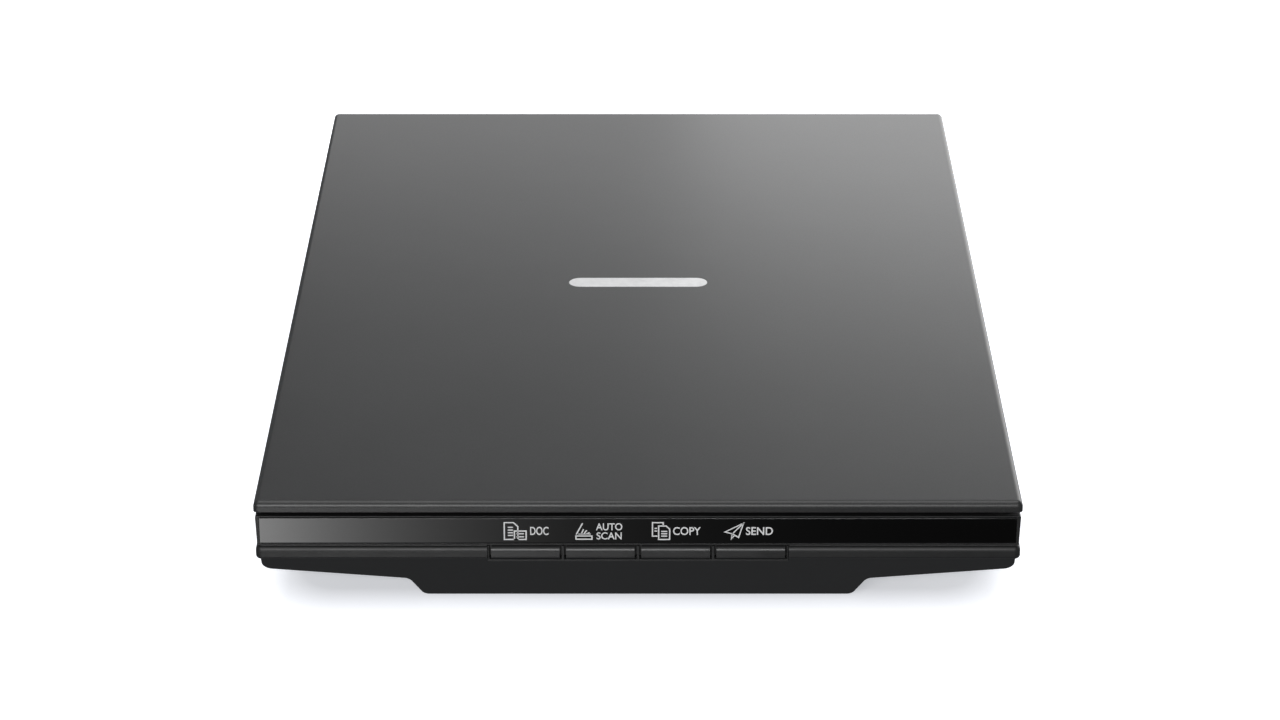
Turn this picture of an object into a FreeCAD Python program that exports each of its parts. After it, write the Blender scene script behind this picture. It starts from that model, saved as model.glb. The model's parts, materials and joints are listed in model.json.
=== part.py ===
import FreeCAD, Part
import math
import os
import re
import Sketcher
from FreeCAD import Placement, Rotation, Vector

# A flatbed book scanner: a wide, thin lid over a glass platen, a contact image sensor that a belt
# pulls along under the glass, and four push buttons in the rounded rim under the front strip.
# Units are millimetres. X is to the right, +Y is to the back, where the lid is hinged, and +Z is up.
# The origin is at the middle of the footprint, on the surface that the rubber feet stand on.

SIZES = {
    # the whole scanner, closed
    "wide": 250.0,
    "deep": 367.0,
    "high": 42.0,
    # lid
    "lid_edge": 3.6,
    "lid_skin": 1.6,
    "lid_rim": 2.0,
    "lid_corner": 1.6,
    "lid_top_round": 2.0,
    "liner_thick": 1.6,
    "liner_gap": 0.4,
    "pad_sheet": 0.5,
    "pad_gap": 0.2,
    "pad_play": 0.5,
    "badge_y": 2.0,
    "badge_half": 25.4,
    "badge_round": 4.2,
    "badge_thick": 0.35,
    "badge_margin": 0.1,
    "bumper_round": 3.0,
    "bumper_play": 0.1,
    "bumper_x": 116.0,
    "bumper_front": -170.0,
    "bumper_back": 155.0,
    # platen frame, which is the upper half of the base
    "frame_top": 36.8,
    "frame_low": 26.4,
    "frame_half": 124.5,
    "frame_half_low": 124.1,
    "frame_front": -183.0,
    "base_back": 177.8,
    "frame_wall": 2.2,
    "frame_edge": 0.5,
    "frame_lip": 1.0,
    "nose_wall": 3.0,
    "back_wall": 2.0,
    "notch_half": 12.0,
    "notch_deep": 3.5,
    "boss_round": 3.2,
    "window_half": 109.5,
    "window_front": -157.0,
    "window_back": 141.0,
    "glass_thick": 2.8,
    "glass_lap": 4.5,
    "tape_thick": 0.3,
    "tape_wide": 3.0,
    "tape_away": 0.7,
    "white_away": 1.5,
    "white_wide": 7.0,
    "white_thick": 0.2,
    # glossy strip in the frame's front
    "strip_half": 123.15,
    "strip_low": 27.0,
    "strip_top": 36.4,
    "strip_thick": 1.4,
    "strip_proud": 0.2,
    "strip_bevel": 0.35,
    # lower case: a hull with raised wings and a lower belly, and a rounded rim round the top
    "rim_half": 124.8,
    "rim_front": -183.4,
    "rim_low": 21.1,
    "rim_top": 26.0,
    "rim_round": 1.9,
    "rim_round_low": 1.2,
    "rim_corner": 2.0,
    "hull_half": 123.2,
    "hull_front": -182.3,
    "hull_wall": 2.0,
    "slant_run": 12.0,
    "wing_tip": 16.0,
    "wing_root": 10.5,
    "wing_root_half": 75.3,
    "belly_half": 70.8,
    "belly_low": 2.0,
    "tip_round": 3.5,
    "root_round": 3.3,
    "belly_round": 2.8,
    "rim_back_proud": 0.4,
    "tongue_high": 2.4,
    "tongue_thick": 1.2,
    "foot_round": 7.0,
    "foot_sink": 0.6,
    "foot_x": 56.0,
    "foot_front": -148.0,
    "foot_back": 158.0,
    "screw_x": 100.0,
    "screw_front": -171.0,
    "screw_back": 170.5,
    "screw_low": 17.0,
    "screw_seat": 18.9,
    "screw_bite": 5.0,
    "screw_round": 1.5,
    "screw_head": 2.7,
    "screw_well": 2.9,
    "case_boss_round": 4.2,
    "tapping_round": 0.88,
    "tapping_head": 2.0,
    "tapping_hole": 0.9,
    "tapping_clear": 1.1,
    "board_post_round": 2.6,
    "motor_post_round": 2.8,
    "usb_hole_half": 5.2,
    # buttons
    "button_pitch": 24.5,
    "button_wide": 22.35,
    "button_low": 21.2,
    "button_high": 25.9,
    "comb_half": 49.0,
    "comb_low": 20.4,
    "comb_sill": 0.6,
    "comb_rib": 0.75,
    "comb_front": -182.8,
    "comb_back": -180.4,
    "comb_plate": -178.6,
    "comb_plate_thick": 0.6,
    "key_board": -173.4,
    "key_board_thick": 1.0,
    "key_board_half": 50.0,
    "key_board_low": 19.0,
    "key_board_high": 27.6,
    "key_post_x": 45.5,
    "key_post_half": 1.5,
    "key_post_low": 8.0,
    "switch_half": 3.0,
    "switch_z": 23.8,
    "switch_half_high": 2.5,
    "switch_deep": 3.0,
    "knob_round": 1.3,
    "knob_long": 1.1,
    "stem_half": 2.5,
    "stem_play": 0.3,
    # lid hinges, whose posts also lift
    "hinge_x": 58.0,
    "hinge_y": 178.5,
    "hinge_z": 36.9,
    "barrel_round": 2.6,
    "barrel_half": 5.0,
    "lug_round": 2.4,
    "lug_wide": 4.0,
    "lug_gap": 0.3,
    "pin_round": 1.2,
    "pin_play": 0.05,
    "post_half": 6.8,
    "post_front": 168.6,
    "post_back": 174.0,
    "post_foot_half": 7.8,
    "post_low": 5.0,
    "guide_wall": 1.3,
    "guide_play": 0.2,
    "guide_top": 32.5,
    "guide_mouth": 2.5,
    # carriage and its drive
    "home": 146.5,
    "rod_x": -12.0,
    "rod_z": 13.0,
    "rod_round": 3.0,
    "rod_front": -170.2,
    "rod_back": 171.0,
    "bush_round": 4.2,
    "bush_long": 6.0,
    "rod_play": 0.04,
    "carriage_half": 118.0,
    "carriage_depth_half": 10.0,
    "carriage_low": 18.2,
    "carriage_floor": 1.6,
    "carriage_wall": 1.6,
    "carriage_wall_top": 29.0,
    "saddle_half": 6.0,
    "saddle_deep": 5.0,
    "sensor_half": 115.5,
    "sensor_depth_half": 7.5,
    "sensor_low": 21.7,
    "sensor_top": 32.2,
    "sensor_floor": 3.0,
    "cover_half": 110.8,
    "cover_deep_half": 4.8,
    "cover_thick": 1.1,
    "light_bay_half": 110.0,
    "light_bay_deep_half": 4.6,
    "scan_half": 98.0,
    "lens_half": 1.5,
    "glide_inner": 111.6,
    "glide_outer": 115.0,
    "glide_deep_half": 6.0,
    "glide_proud": 0.4,
    "sensor_board_half": 6.0,
    "sensor_board_thick": 0.8,
    "spring_x": 105.0,
    "spring_round": 2.0,
    "spring_wire": 0.3,
    "spring_turns": 3,
    "spring_cup_deep": 3.5,
    "spring_cup_round": 2.9,
    "spring_lid_round": 4.2,
    "plug_margin": 1.0,
    "plug_deep_half": 2.0,
    "plug_drop": 1.4,
    "drive_x": 8.0,
    "drive_y": 159.6,
    "belt_low": 8.6,
    "belt_high": 12.6,
    "belt_thick": 1.2,
    "drive_belt_round": 5.9,
    "idler_x": 5.5,
    "idler_y": -163.5,
    "idler_belt_round": 3.4,
    "gear_module": 0.5,
    "gear_backlash": 0.07,
    "gear_teeth": 58,
    "pinion_teeth": 14,
    "gear_low": 4.8,
    "gear_high": 7.4,
    "gear_lightening": 2.0,
    "gear_lightening_at": 10.6,
    "axle_round": 1.5,
    "idler_pin_round": 1.0,
    "groove_round": 0.42,
    "clip_thick": 0.7,
    "clip_half": 6.0,
    "cradle_half": 6.0,
    "clamp_half": 2.7,
    "clamp_slot_half": 0.8,
    "clamp_front": 1.0,
    "clamp_back": 5.0,
    "motor_round": 10.0,
    "motor_low": 8.6,
    "motor_high": 16.6,
    "motor_cap_round": 4.0,
    "motor_cap_high": 0.8,
    "motor_bore": 1.2,
    "motor_ear_half": 3.4,
    "motor_ear_reach": 16.0,
    "motor_screw_away": 13.0,
    "flange_thick": 0.8,
    "flange_bore": 2.4,
    "shaft_round": 0.75,
    "bracket_half": 4.0,
    "bracket_back": -150.0,
    "bracket_thick": 1.0,
    "bracket_tab_high": 8.2,
    "push_x": 7.3,
    "push_z": 6.7,
    "push_round": 1.3,
    "push_wire": 0.2,
    "push_long": 13.1,
    "push_turns": 8,
    # electronics
    "board_left": -64.0,
    "board_right": -20.0,
    "board_front": 101.0,
    "board_back": 175.0,
    "board_low": 6.2,
    "board_thick": 1.6,
    "usb_x": -36.0,
    "usb_half": 3.85,
    "usb_high": 3.9,
    "usb_long": 9.0,
    "usb_wall": 0.35,
    "capacitor_round": 3.1,
    "capacitor_high": 5.6,
    "ribbon_left": -52.0,
    "ribbon_right": -32.0,
    "ribbon_thick": 0.3,
    "fold_y": -5.0,
    "fold_round": 0.9,
    "key_ribbon_left": -61.5,
    "key_ribbon_right": -55.5,
    "lead_low": 4.1,
    "lead_thick": 0.9,
    "lead_front": 135.6,
    "lead_back": 139.4,
}

doc = FreeCAD.newDocument("book_scanner")
sheet = doc.addObject("Spreadsheet::Sheet", "dims")
for row, (alias, number) in enumerate(SIZES.items(), start=1):
    sheet.set(f"A{row}", alias)
    sheet.set(f"B{row}", str(number))
    sheet.setAlias(f"B{row}", alias)
doc.recompute()

X, Y, Z = Vector(1, 0, 0), Vector(0, 1, 0), Vector(0, 0, 1)
AXES = {"X": X, "Y": Y, "Z": Z}
PLANES = {"XY": ("XY_Plane", 1), "XZ": ("XZ_Plane", -1), "YZ": ("YZ_Plane", 1)}
finished = []


# ---------------------------------------------------------------- small tools


def size(alias):
    """A driving dimension, read back from the sheet."""
    return float(sheet.get(alias))


def formula(text):
    """An expression for setExpression, with the sheet's name put before each of its aliases."""
    return re.sub(r"[a-z]\w*", lambda m: f"dims.{m[0]}" if m[0] in SIZES else m[0], str(text))


def bind(feature, **properties):
    """Binds properties to formulas. Base_x stands for Placement.Base.x."""
    for name, text in properties.items():
        path = name.replace("Base_", "Placement.Base.")
        feature.setExpression(path, formula(text))
    return feature


def block(name, x, y, z):
    """A box from the low to the high formula along each axis."""
    box = doc.addObject("Part::Box", name)
    bind(box, Base_x=x[0], Base_y=y[0], Base_z=z[0])
    bind(
        box,
        Length=f"({x[1]}) - ({x[0]})",
        Width=f"({y[1]}) - ({y[0]})",
        Height=f"({z[1]}) - ({z[0]})",
    )
    return box


def drum(name, radius, axis, across, low, high):
    """A cylinder along an axis, from low to high. across holds its place on the other two axes."""
    cylinder = doc.addObject("Part::Cylinder", name)
    cylinder.Placement = Placement(Vector(), Rotation(Z, AXES[axis]))
    others = [a for a in "XYZ" if a != axis]
    places = dict(zip(others, across)) | {axis: low}
    bind(cylinder, Base_x=places["X"], Base_y=places["Y"], Base_z=places["Z"])
    return bind(cylinder, Radius=radius, Height=f"({high}) - ({low})")


def drums(name, radius, places, low, high):
    """Upright cylinders of one size, numbered in the order of their places."""
    return [drum(f"{name}_{n}", radius, "Z", place, low, high) for n, place in enumerate(places)]


def past(span):
    """A span drawn out a millimetre at each end, for a tool that cuts right through."""
    return f"{span[0]} - 1", f"{span[1]} + 1"


def around(middle, half):
    """The span of that half width about a middle."""
    return f"{middle} - {half}", f"{middle} + {half}"


def combine(kind, name, shapes):
    made = doc.addObject(kind, name)
    made.Shapes = shapes
    made.Refine = True
    return made


def fuse(name, *shapes):
    return combine("Part::MultiFuse", name, list(shapes))


def cut(name, base, *tools):
    made = doc.addObject("Part::Cut", name)
    made.Base = base
    made.Tool = tools[0] if len(tools) == 1 else fuse(f"{name}_tools", *tools)
    made.Refine = True
    return made


def mirror(name, source):
    """The other side's copy, across the middle plane X = 0."""
    made = doc.addObject("Part::Mirroring", name)
    made.Source = source
    made.Normal = X
    return made


def group(name, *shapes):
    """Separate solids that share one node."""
    made = doc.addObject("Part::Compound", name)
    made.Links = list(shapes)
    return made


def shaped(name, shape, place=Placement()):
    """A feature whose solid is worked out here, for gears, springs, the belt and the flat cables."""
    made = doc.addObject("Part::Feature", name)
    made.Shape = shape
    made.Placement = place
    return made


def keep(name, feature):
    """Marks a feature as a finished sub-part, under the name of its file."""
    feature.Label = name
    finished.append(feature)
    return feature


def prism(name, plane, outline, low, high):
    """A body: a closed outline of formulas on a base plane, padded from low to high across it."""
    role, sign = PLANES[plane]
    body = doc.addObject("PartDesign::Body", name)
    sketch = body.newObject("Sketcher::SketchObject", f"{name}_sketch")
    base = next(f for f in body.Origin.OriginFeatures if f.Role == role)
    sketch.AttachmentSupport = [(base, "")]
    sketch.MapMode = "FlatFace"
    start = low if sign > 0 else f"-({high})"
    sketch.setExpression("AttachmentOffset.Base.z", formula(start))
    count = len(outline)
    for k in range(count):
        turn, following = 2 * math.pi * k / count, 2 * math.pi * (k + 1) / count
        ends = [Vector(math.cos(t), math.sin(t), 0) for t in (turn, following)]
        sketch.addGeometry(Part.LineSegment(*ends), False)
    for k in range(count):
        sketch.addConstraint(Sketcher.Constraint("Coincident", k, 2, (k + 1) % count, 1))
    for k, place in enumerate(outline):
        for kind, text in zip(("DistanceX", "DistanceY"), place):
            index = sketch.addConstraint(Sketcher.Constraint(kind, -1, 1, k, 1, 1.0))
            sketch.setExpression(f"Constraints[{index}]", formula(text))
    pad = body.newObject("PartDesign::Pad", f"{name}_pad")
    pad.Profile = sketch
    pad.setExpression("Length", formula(f"({high}) - ({low})"))
    doc.recompute()
    return body


def slab(name, x, y, z):
    """A body like block, for pieces whose edges get rounded."""
    corners = [(x[0], y[0]), (x[1], y[0]), (x[1], y[1]), (x[0], y[1])]
    return prism(name, "XY", corners, *z)


def edges_at(shape, places):
    """Names of the edges that lie wholly at one of the places, each a dict such as {"y": 1.0, "z": 2.0}."""
    names = []
    for number, edge in enumerate(shape.Edges, start=1):
        points = [edge.valueAt(edge.FirstParameter), edge.valueAt(edge.LastParameter)]
        points.append(edge.valueAt((edge.FirstParameter + edge.LastParameter) / 2))
        for place in places:
            if all(abs(getattr(p, a) - v) < 0.01 for p in points for a, v in place.items()):
                names.append(f"Edge{number}")
                break
    return names


def soften(body, radius, places, kind="Fillet"):
    """Rounds, or with kind Chamfer bevels, the edges of a body that lie at the given places."""
    names = edges_at(body.Shape, places)
    if not names:
        raise ValueError(f"{body.Name} has no edge at {places}")
    made = body.newObject(f"PartDesign::{kind}", f"{body.Name}_{kind.lower()}")
    made.Base = (body.Group[-2], names)
    made.setExpression("Radius" if kind == "Fillet" else "Size", formula(radius))
    body.Tip = made
    doc.recompute()
    return body


def corners_of(x, y):
    return [{"x": a, "y": b} for a in x for b in y]


# ---------------------------------------------------------------- lid


def lid_parts():
    half_wide, half_deep, top = size("wide") / 2, size("deep") / 2, size("high")
    outer = slab(
        "lid_outer",
        ("-wide / 2", "wide / 2"),
        ("-deep / 2", "deep / 2"),
        ("high - lid_edge", "high"),
    )
    soften(outer, "lid_corner", corners_of((-half_wide, half_wide), (-half_deep, half_deep)))
    soften(outer, "lid_top_round", [{"y": -half_deep, "z": top}])
    inside = ("-wide / 2 + lid_rim", "wide / 2 - lid_rim")
    along = ("-deep / 2 + lid_rim", "deep / 2 - lid_rim")
    cavity = block("lid_cavity", inside, along, ("high - lid_edge - 1", "high - lid_skin"))
    recess = badge_shape("badge_recess", "badge_thick + 0.05", "badge_margin")
    shell = cut("lid_hollow", outer, cavity, recess)

    lugs = [hinge_lug(f"lug_{n}", offset) for n, offset in enumerate(lug_offsets())]
    keep("lid_shell", fuse("lid_shell_whole", shell, *lugs, *[mirror(f"{g.Name}_m", g) for g in lugs]))

    keep("lid_badge", badge_shape("lid_badge_plate", "badge_thick", "0"))

    under = "high - lid_skin - liner_thick"
    liner = block(
        "liner_plate",
        (f"{inside[0]} + liner_gap", f"{inside[1]} - liner_gap"),
        (f"{along[0]} + liner_gap", "hinge_y - barrel_round - 2"),
        (under, "high - lid_skin"),
    )
    hole = block("liner_hole", *pad_box("0.3"), (f"{under} - 1", "high"))
    keep("lid_liner", cut("liner_whole", liner, hole))

    sheet_low = "frame_top - frame_lip - tape_thick + pad_gap"
    keep("lid_sponge", block("sponge", *pad_box("0"), (f"{sheet_low} + pad_sheet", "high - lid_skin")))
    keep("lid_white_sheet", block("white_sheet", *pad_box("0"), (sheet_low, f"{sheet_low} + pad_sheet")))

    places = [(f"{side}bumper_x", y) for side in "-+" for y in ("bumper_front", "bumper_back")]
    bumpers = drums("bumper", "bumper_round", places, "frame_top + bumper_play", under)
    keep("lid_bumpers", group("bumper_group", *bumpers))

    reach = "barrel_half + lug_gap + lug_wide"
    pin = drum("pin_right", "pin_round", "X", ("hinge_y", "hinge_z"), *around("hinge_x", f"({reach})"))
    keep("hinge_pins", group("pin_pair", mirror("pin_left", pin), pin))


def pad_box(margin):
    """The pad's outline under the lid, with a margin round it: its X and Y pairs."""
    x = ("-window_half + pad_play - {0}", "window_half - pad_play + {0}")
    y = ("window_front + pad_play - {0}", "window_back - pad_play + {0}")
    return [tuple(text.format(margin) for text in pair) for pair in (x, y)]


def badge_shape(name, thick, margin):
    """A plain badge with round ends, let into the lid's top."""
    low = f"high - ({thick})"
    mid = "badge_y"
    bar = block(
        f"{name}_bar",
        ("-badge_half + badge_round", "badge_half - badge_round"),
        (f"{mid} - badge_round - {margin}", f"{mid} + badge_round + {margin}"),
        (low, "high"),
    )
    places = [(f"{side}(badge_half - badge_round)", mid) for side in "-+"]
    ends = drums(name, f"badge_round + {margin}", places, low, "high")
    return fuse(name, bar, *ends)


def lug_offsets():
    """How far each lug's inner and outer faces are from the middle of a hinge, as formulas."""
    near, far = "barrel_half + lug_gap", "barrel_half + lug_gap + lug_wide"
    return [(f"hinge_x - ({far})", f"hinge_x - ({near})"), (f"hinge_x + {near}", f"hinge_x + {far}")]


def hinge_lug(name, span):
    """An ear under the lid that holds one end of a hinge pin."""
    web = block(
        f"{name}_web",
        span,
        ("hinge_y - lug_round", "hinge_y + lug_round"),
        ("hinge_z", "high - lid_skin + 0.2"),
    )
    eye = drum(f"{name}_eye", "lug_round", "X", ("hinge_y", "hinge_z"), *span)
    hole = drum(f"{name}_hole", "pin_round + 0.02", "X", ("hinge_y", "hinge_z"), *past(span))
    return cut(name, fuse(f"{name}_solid", web, eye), hole)


# ---------------------------------------------------------------- lid hinges in the base


def hinge_parts():
    near = ("hinge_x - post_half", "hinge_x + post_half")
    post = block("post_stem", near, ("post_front", "post_back"), ("post_low", "hinge_z + 0.7"))
    foot = block(
        "post_foot",
        ("hinge_x - post_foot_half", "hinge_x + post_foot_half"),
        ("post_front", "post_back"),
        ("post_low", "post_low + 3"),
    )
    span = ("hinge_x - barrel_half", "hinge_x + barrel_half")
    arm = block("post_arm", span, ("post_front", "hinge_y"), ("hinge_z - barrel_round", "hinge_z + 0.7"))
    barrel = drum("post_barrel", "barrel_round", "X", ("hinge_y", "hinge_z"), *span)
    bore = drum("post_bore", "pin_round + pin_play", "X", ("hinge_y", "hinge_z"), *past(span))
    right = keep("hinge_post_right", cut("post_right", fuse("post_solid", post, foot, arm, barrel), bore))
    keep("hinge_post_left", mirror("post_left", right))

    wide = "post_foot_half + guide_play"
    deep = ("post_front - guide_play", "post_back + guide_play")
    body = block(
        "guide_body",
        (f"hinge_x - ({wide} + guide_wall)", f"hinge_x + {wide} + guide_wall"),
        (f"{deep[0]} - guide_wall", f"{deep[1]} + guide_wall"),
        ("belly_low + hull_wall", "guide_top"),
    )
    bay = block(
        "guide_bay",
        (f"hinge_x - ({wide})", f"hinge_x + {wide}"),
        deep,
        ("post_low - guide_play", "guide_top - guide_mouth"),
    )
    mouth = block(
        "guide_slot",
        ("hinge_x - post_half - guide_play", "hinge_x + post_half + guide_play"),
        deep,
        ("post_low", "guide_top + 1"),
    )
    right = keep("hinge_guide_right", cut("guide_right", body, bay, mouth))
    keep("hinge_guide_left", mirror("guide_left", right))


# ---------------------------------------------------------------- platen frame, glass and front strip


def frame_parts():
    outline = [
        ("-frame_half_low", "frame_low"),
        ("frame_half_low", "frame_low"),
        ("frame_half", "frame_top"),
        ("-frame_half", "frame_top"),
    ]
    outer = prism("frame_outer", "XZ", outline, "frame_front", "base_back")
    top = size("frame_top")
    soften(outer, "frame_edge", [{"z": top, "y": size("base_back")}, {"z": top, "x": size("frame_half")}])
    soften(outer, "frame_edge", [{"z": top, "x": -size("frame_half")}])
    hollow = block(
        "frame_hollow",
        ("-frame_half_low + frame_wall", "frame_half_low - frame_wall"),
        ("frame_front + nose_wall", "base_back - back_wall"),
        ("frame_low - 1", "frame_top - frame_lip"),
    )
    window = block(
        "frame_window",
        ("-window_half", "window_half"),
        ("window_front", "window_back"),
        ("frame_low", "frame_top + 1"),
    )
    seat = block(
        "strip_seat",
        ("-strip_half - 0.1", "strip_half + 0.1"),
        ("frame_front - 1", "frame_front - strip_proud + strip_thick + 0.05"),
        ("strip_low - 0.1", "strip_top + 0.05"),
    )
    notch = block(
        "hinge_notch",
        around("hinge_x", "notch_half"),
        ("post_front - guide_wall - 0.6", "base_back + 1"),
        ("hinge_z - barrel_round - notch_deep", "frame_top + 1"),
    )
    frame = cut("frame_open", outer, hollow, window, seat, notch, mirror("hinge_notch_m", notch))
    posts = drums("frame_boss", "boss_round", screw_places(), "frame_low", "frame_top - frame_lip + 0.2")
    thread = ("frame_low - 1", "frame_low + screw_bite + 0.2")
    holes = drums("frame_thread", "screw_round + 0.02", screw_places(), *thread)
    keep("platen_frame", cut("frame_whole", fuse("frame_bossed", frame, *posts), *holes))

    glass_top = "frame_top - frame_lip - tape_thick"
    extent = [
        ("-window_half - glass_lap", "window_half + glass_lap"),
        ("window_front - glass_lap", "window_back + 3 * glass_lap"),
    ]
    keep("platen_glass", block("glass", *extent, (f"{glass_top} - glass_thick", glass_top)))

    tape_z = (glass_top, "frame_top - frame_lip")
    side = block(
        "tape_right",
        ("window_half + tape_away", "window_half + tape_away + tape_wide"),
        ("window_front", "window_back"),
        tape_z,
    )
    front = block(
        "tape_front",
        ("-window_half", "window_half"),
        ("window_front - tape_away - tape_wide", "window_front - tape_away"),
        tape_z,
    )
    white_back = "window_back + white_away + white_wide"
    back = block(
        "tape_back",
        ("-window_half", "window_half"),
        (f"{white_back} + 1.1", f"{white_back} + 1.1 + tape_wide"),
        tape_z,
    )
    keep("glass_tape", group("tape_group", side, mirror("tape_left", side), front, back))

    white = block(
        "white_strip",
        ("-window_half - 2.5", "window_half + 2.5"),
        ("window_back + white_away", white_back),
        (glass_top, f"{glass_top} + white_thick"),
    )
    keep("calibration_strip", white)

    gloss = slab(
        "gloss_strip",
        ("-strip_half", "strip_half"),
        ("frame_front - strip_proud", "frame_front - strip_proud + strip_thick"),
        ("strip_low", "strip_top"),
    )
    nose = size("frame_front") - size("strip_proud")
    soften(gloss, "strip_bevel", [{"y": nose, "z": size(e)} for e in ("strip_top", "strip_low")], "Chamfer")
    keep("front_strip", gloss)


def screw_places():
    return [(f"{side}screw_x", y) for side in "-+" for y in ("screw_front", "screw_back")]


# ---------------------------------------------------------------- lower case


def hull(name, wall):
    """The hull's solid, drawn in by a wall thickness: belly, raised wings and slanted front."""
    inner = wall != "0"
    top = "rim_top + 4" if inner else "rim_top"
    shift = f"{wall} * 0.7"
    outline = [
        (f"-belly_half + {shift}", f"belly_low + {wall}"),
        (f"belly_half - {shift}", f"belly_low + {wall}"),
        (f"wing_root_half - {shift}", f"wing_root + {wall}"),
        (f"hull_half - {wall}", f"wing_tip + {wall}"),
        (f"hull_half - {wall}", top),
        (f"-hull_half + {wall}", top),
        (f"-hull_half + {wall}", f"wing_tip + {wall}"),
        (f"-wing_root_half + {shift}", f"wing_root + {wall}"),
    ]
    body = prism(name, "XZ", outline, f"hull_front + {wall}", f"base_back - {wall}")
    thick = size("hull_wall") if inner else 0.0
    tip = {"x": size("hull_half") - thick, "z": size("wing_tip") + thick}
    root = {"x": size("wing_root_half") - 0.7 * thick, "z": size("wing_root") + thick}
    keel = {"x": size("belly_half") - 0.7 * thick, "z": size("belly_low") + thick}
    for place, radius in ((tip, "tip_round"), (root, "root_round"), (keel, "belly_round")):
        both = [place, {**place, "x": -place["x"]}]
        soften(body, radius if not inner else f"{radius} * 0.7", both)
    start = f"hull_front + {wall} * 1.23"
    steepness = "slant_run / (rim_low - belly_low)"
    section = [
        (start, "rim_low"),
        ("hull_front - 12", "rim_low"),
        ("hull_front - 12", "belly_low - 1"),
        (f"{start} + (rim_low - belly_low + 1) * {steepness}", "belly_low - 1"),
    ]
    wedge = prism(f"{name}_wedge", "YZ", section, "-hull_half - 1", "hull_half + 1")
    return cut(f"{name}_slanted", body, wedge)


def tongue_ring(name, inset, low, high):
    """A rectangular ring just inside the platen frame's walls, drawn in from them by an inset."""
    outer = f"frame_half_low - frame_wall - ({inset})"
    front, back = f"frame_front + nose_wall + {inset}", f"base_back - back_wall - ({inset})"
    inner = "frame_half_low - frame_wall - tongue_thick - 0.2"
    solid = block(f"{name}_outer", (f"-({outer})", outer), (front, back), (low, high))
    hole = block(
        f"{name}_inner",
        (f"-({inner})", inner),
        ("frame_front + nose_wall + tongue_thick + 0.2", "base_back - back_wall - 0.2 - tongue_thick"),
        (f"{low} - 1", f"{high} + 1"),
    )
    return cut(f"{name}_ring", solid, hole)


def lower_case():
    shell = hull("hull_outer", "0")
    rim_back = "base_back + rim_back_proud"
    rim = slab("rim", ("-rim_half", "rim_half"), ("rim_front", rim_back), ("rim_low", "rim_top"))
    half, front = size("rim_half"), size("rim_front")
    back = size("base_back") + size("rim_back_proud")
    soften(rim, "rim_corner", corners_of((-half, half), (front, back)))
    for radius, level in (("rim_round", size("rim_top")), ("rim_round_low", size("rim_low"))):
        soften(rim, radius, [{"z": level, "y": front}])
    ring = tongue_ring("tongue", "0.2", "rim_top - 1", "rim_top + tongue_high")
    root = tongue_ring("tongue_root", "-0.8", "rim_top - 1.5", "rim_top")
    cavity = hull("hull_inner", "hull_wall")
    tub = fuse("tub", cut("tub_open", fuse("tub_solid", shell, rim), cavity), ring, root)

    added = drums("case_boss", "case_boss_round", screw_places(), "wing_root + 4", "frame_low - 0.2")
    added += drums("board_post", "board_post_round", board_screws(), "belly_low", "board_low")
    added += drums("motor_post", "motor_post_round", motor_screws(), "belly_low", "motor_low - flange_thick")
    for n, span in enumerate((("rod_front + 0.4", "rod_front + 3.4"), ("rod_back - 5", "rod_back"))):
        cradle = block(f"rod_cradle_{n}", around("rod_x", "cradle_half"), span, ("belly_low + 1.5", "rod_z"))
        added.append(cradle)
    deep = ("key_board + key_board_thick", "key_board + key_board_thick + 3")
    for n, side in enumerate("-+"):
        post = around(f"{side}key_post_x", "key_post_half")
        added.append(block(f"key_post_{n}", post, deep, ("key_post_low", "key_board_high - 0.6")))
    behind_spring = ("bracket_back + 14", "bracket_back + 16")
    across = ("push_x - 1.8", "push_x + 2.2")
    added.append(block("spring_post", across, behind_spring, ("belly_low + 1", "8.4")))

    cuts = drums("case_head", "screw_well", screw_places(), "belly_low", "screw_seat + 0.1")
    cuts += drums("case_shank", "screw_round + 0.1", screw_places(), "belly_low", "frame_low + 1")
    cuts += drums("foot_seat", "foot_round + 0.1", foot_places(), "belly_low - 1", "belly_low + foot_sink")
    cuts += drums("board_hole", "tapping_hole", board_screws(), "belly_low + 1", "board_low + 1")
    cuts += drums("motor_hole", "tapping_hole", motor_screws(), "belly_low + 1", "motor_low")
    rod_span = ("rod_front - 0.2", "rod_back + 0.2")
    cuts.append(drum("rod_seat", "rod_round + 0.02", "Y", ("rod_x", "rod_z"), *rod_span))
    axle_place = ("drive_x", "drive_y")
    cuts.append(drum("axle_seat", "axle_round + 0.02", "Z", axle_place, "belly_low + 1", "belly_low + 3"))
    cuts.append(
        block(
            "usb_hole",
            around("usb_x", "usb_hole_half"),
            ("base_back - 3", "base_back + 2"),
            ("board_low + 0.7", "board_low + 6.5"),
        )
    )
    comb = around("0", "(comb_half + 0.15)")
    behind = "comb_plate + comb_plate_thick + 0.2"
    cuts.append(block("comb_hole", comb, ("rim_front - 1", behind), ("comb_low - 0.1", "frame_low + 2.2")))
    beside = "(post_foot_half + guide_play + guide_wall + 0.2)"
    gap = block(
        "guide_gap",
        around("hinge_x", beside),
        ("base_back - 5", "base_back - back_wall"),
        ("belly_low + hull_wall", "frame_low + 2.2"),
    )
    cuts += [gap, mirror("guide_gap_m", gap)]
    keep("lower_case", cut("case_whole", fuse("case_solid", tub, *added), *cuts))


def foot_places():
    return [(f"{side}foot_x", y) for side in "-+" for y in ("foot_front", "foot_back")]


def board_screws():
    """Where the main board is fastened."""
    left, right = "board_left + 4", "board_right - 4"
    places = [(right, "board_front + 4"), (left, "board_front + 35"), (left, "board_back - 17")]
    return places + [(right, "board_back - 8")]


def motor_centre():
    apart = size("gear_module") * (size("gear_teeth") + size("pinion_teeth")) / 2
    return size("drive_x") + apart, size("drive_y")


def motor_screws():
    across = "drive_x + gear_module * (gear_teeth + pinion_teeth) / 2"
    return [(across, f"drive_y {side} motor_screw_away") for side in "-+"]


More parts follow.
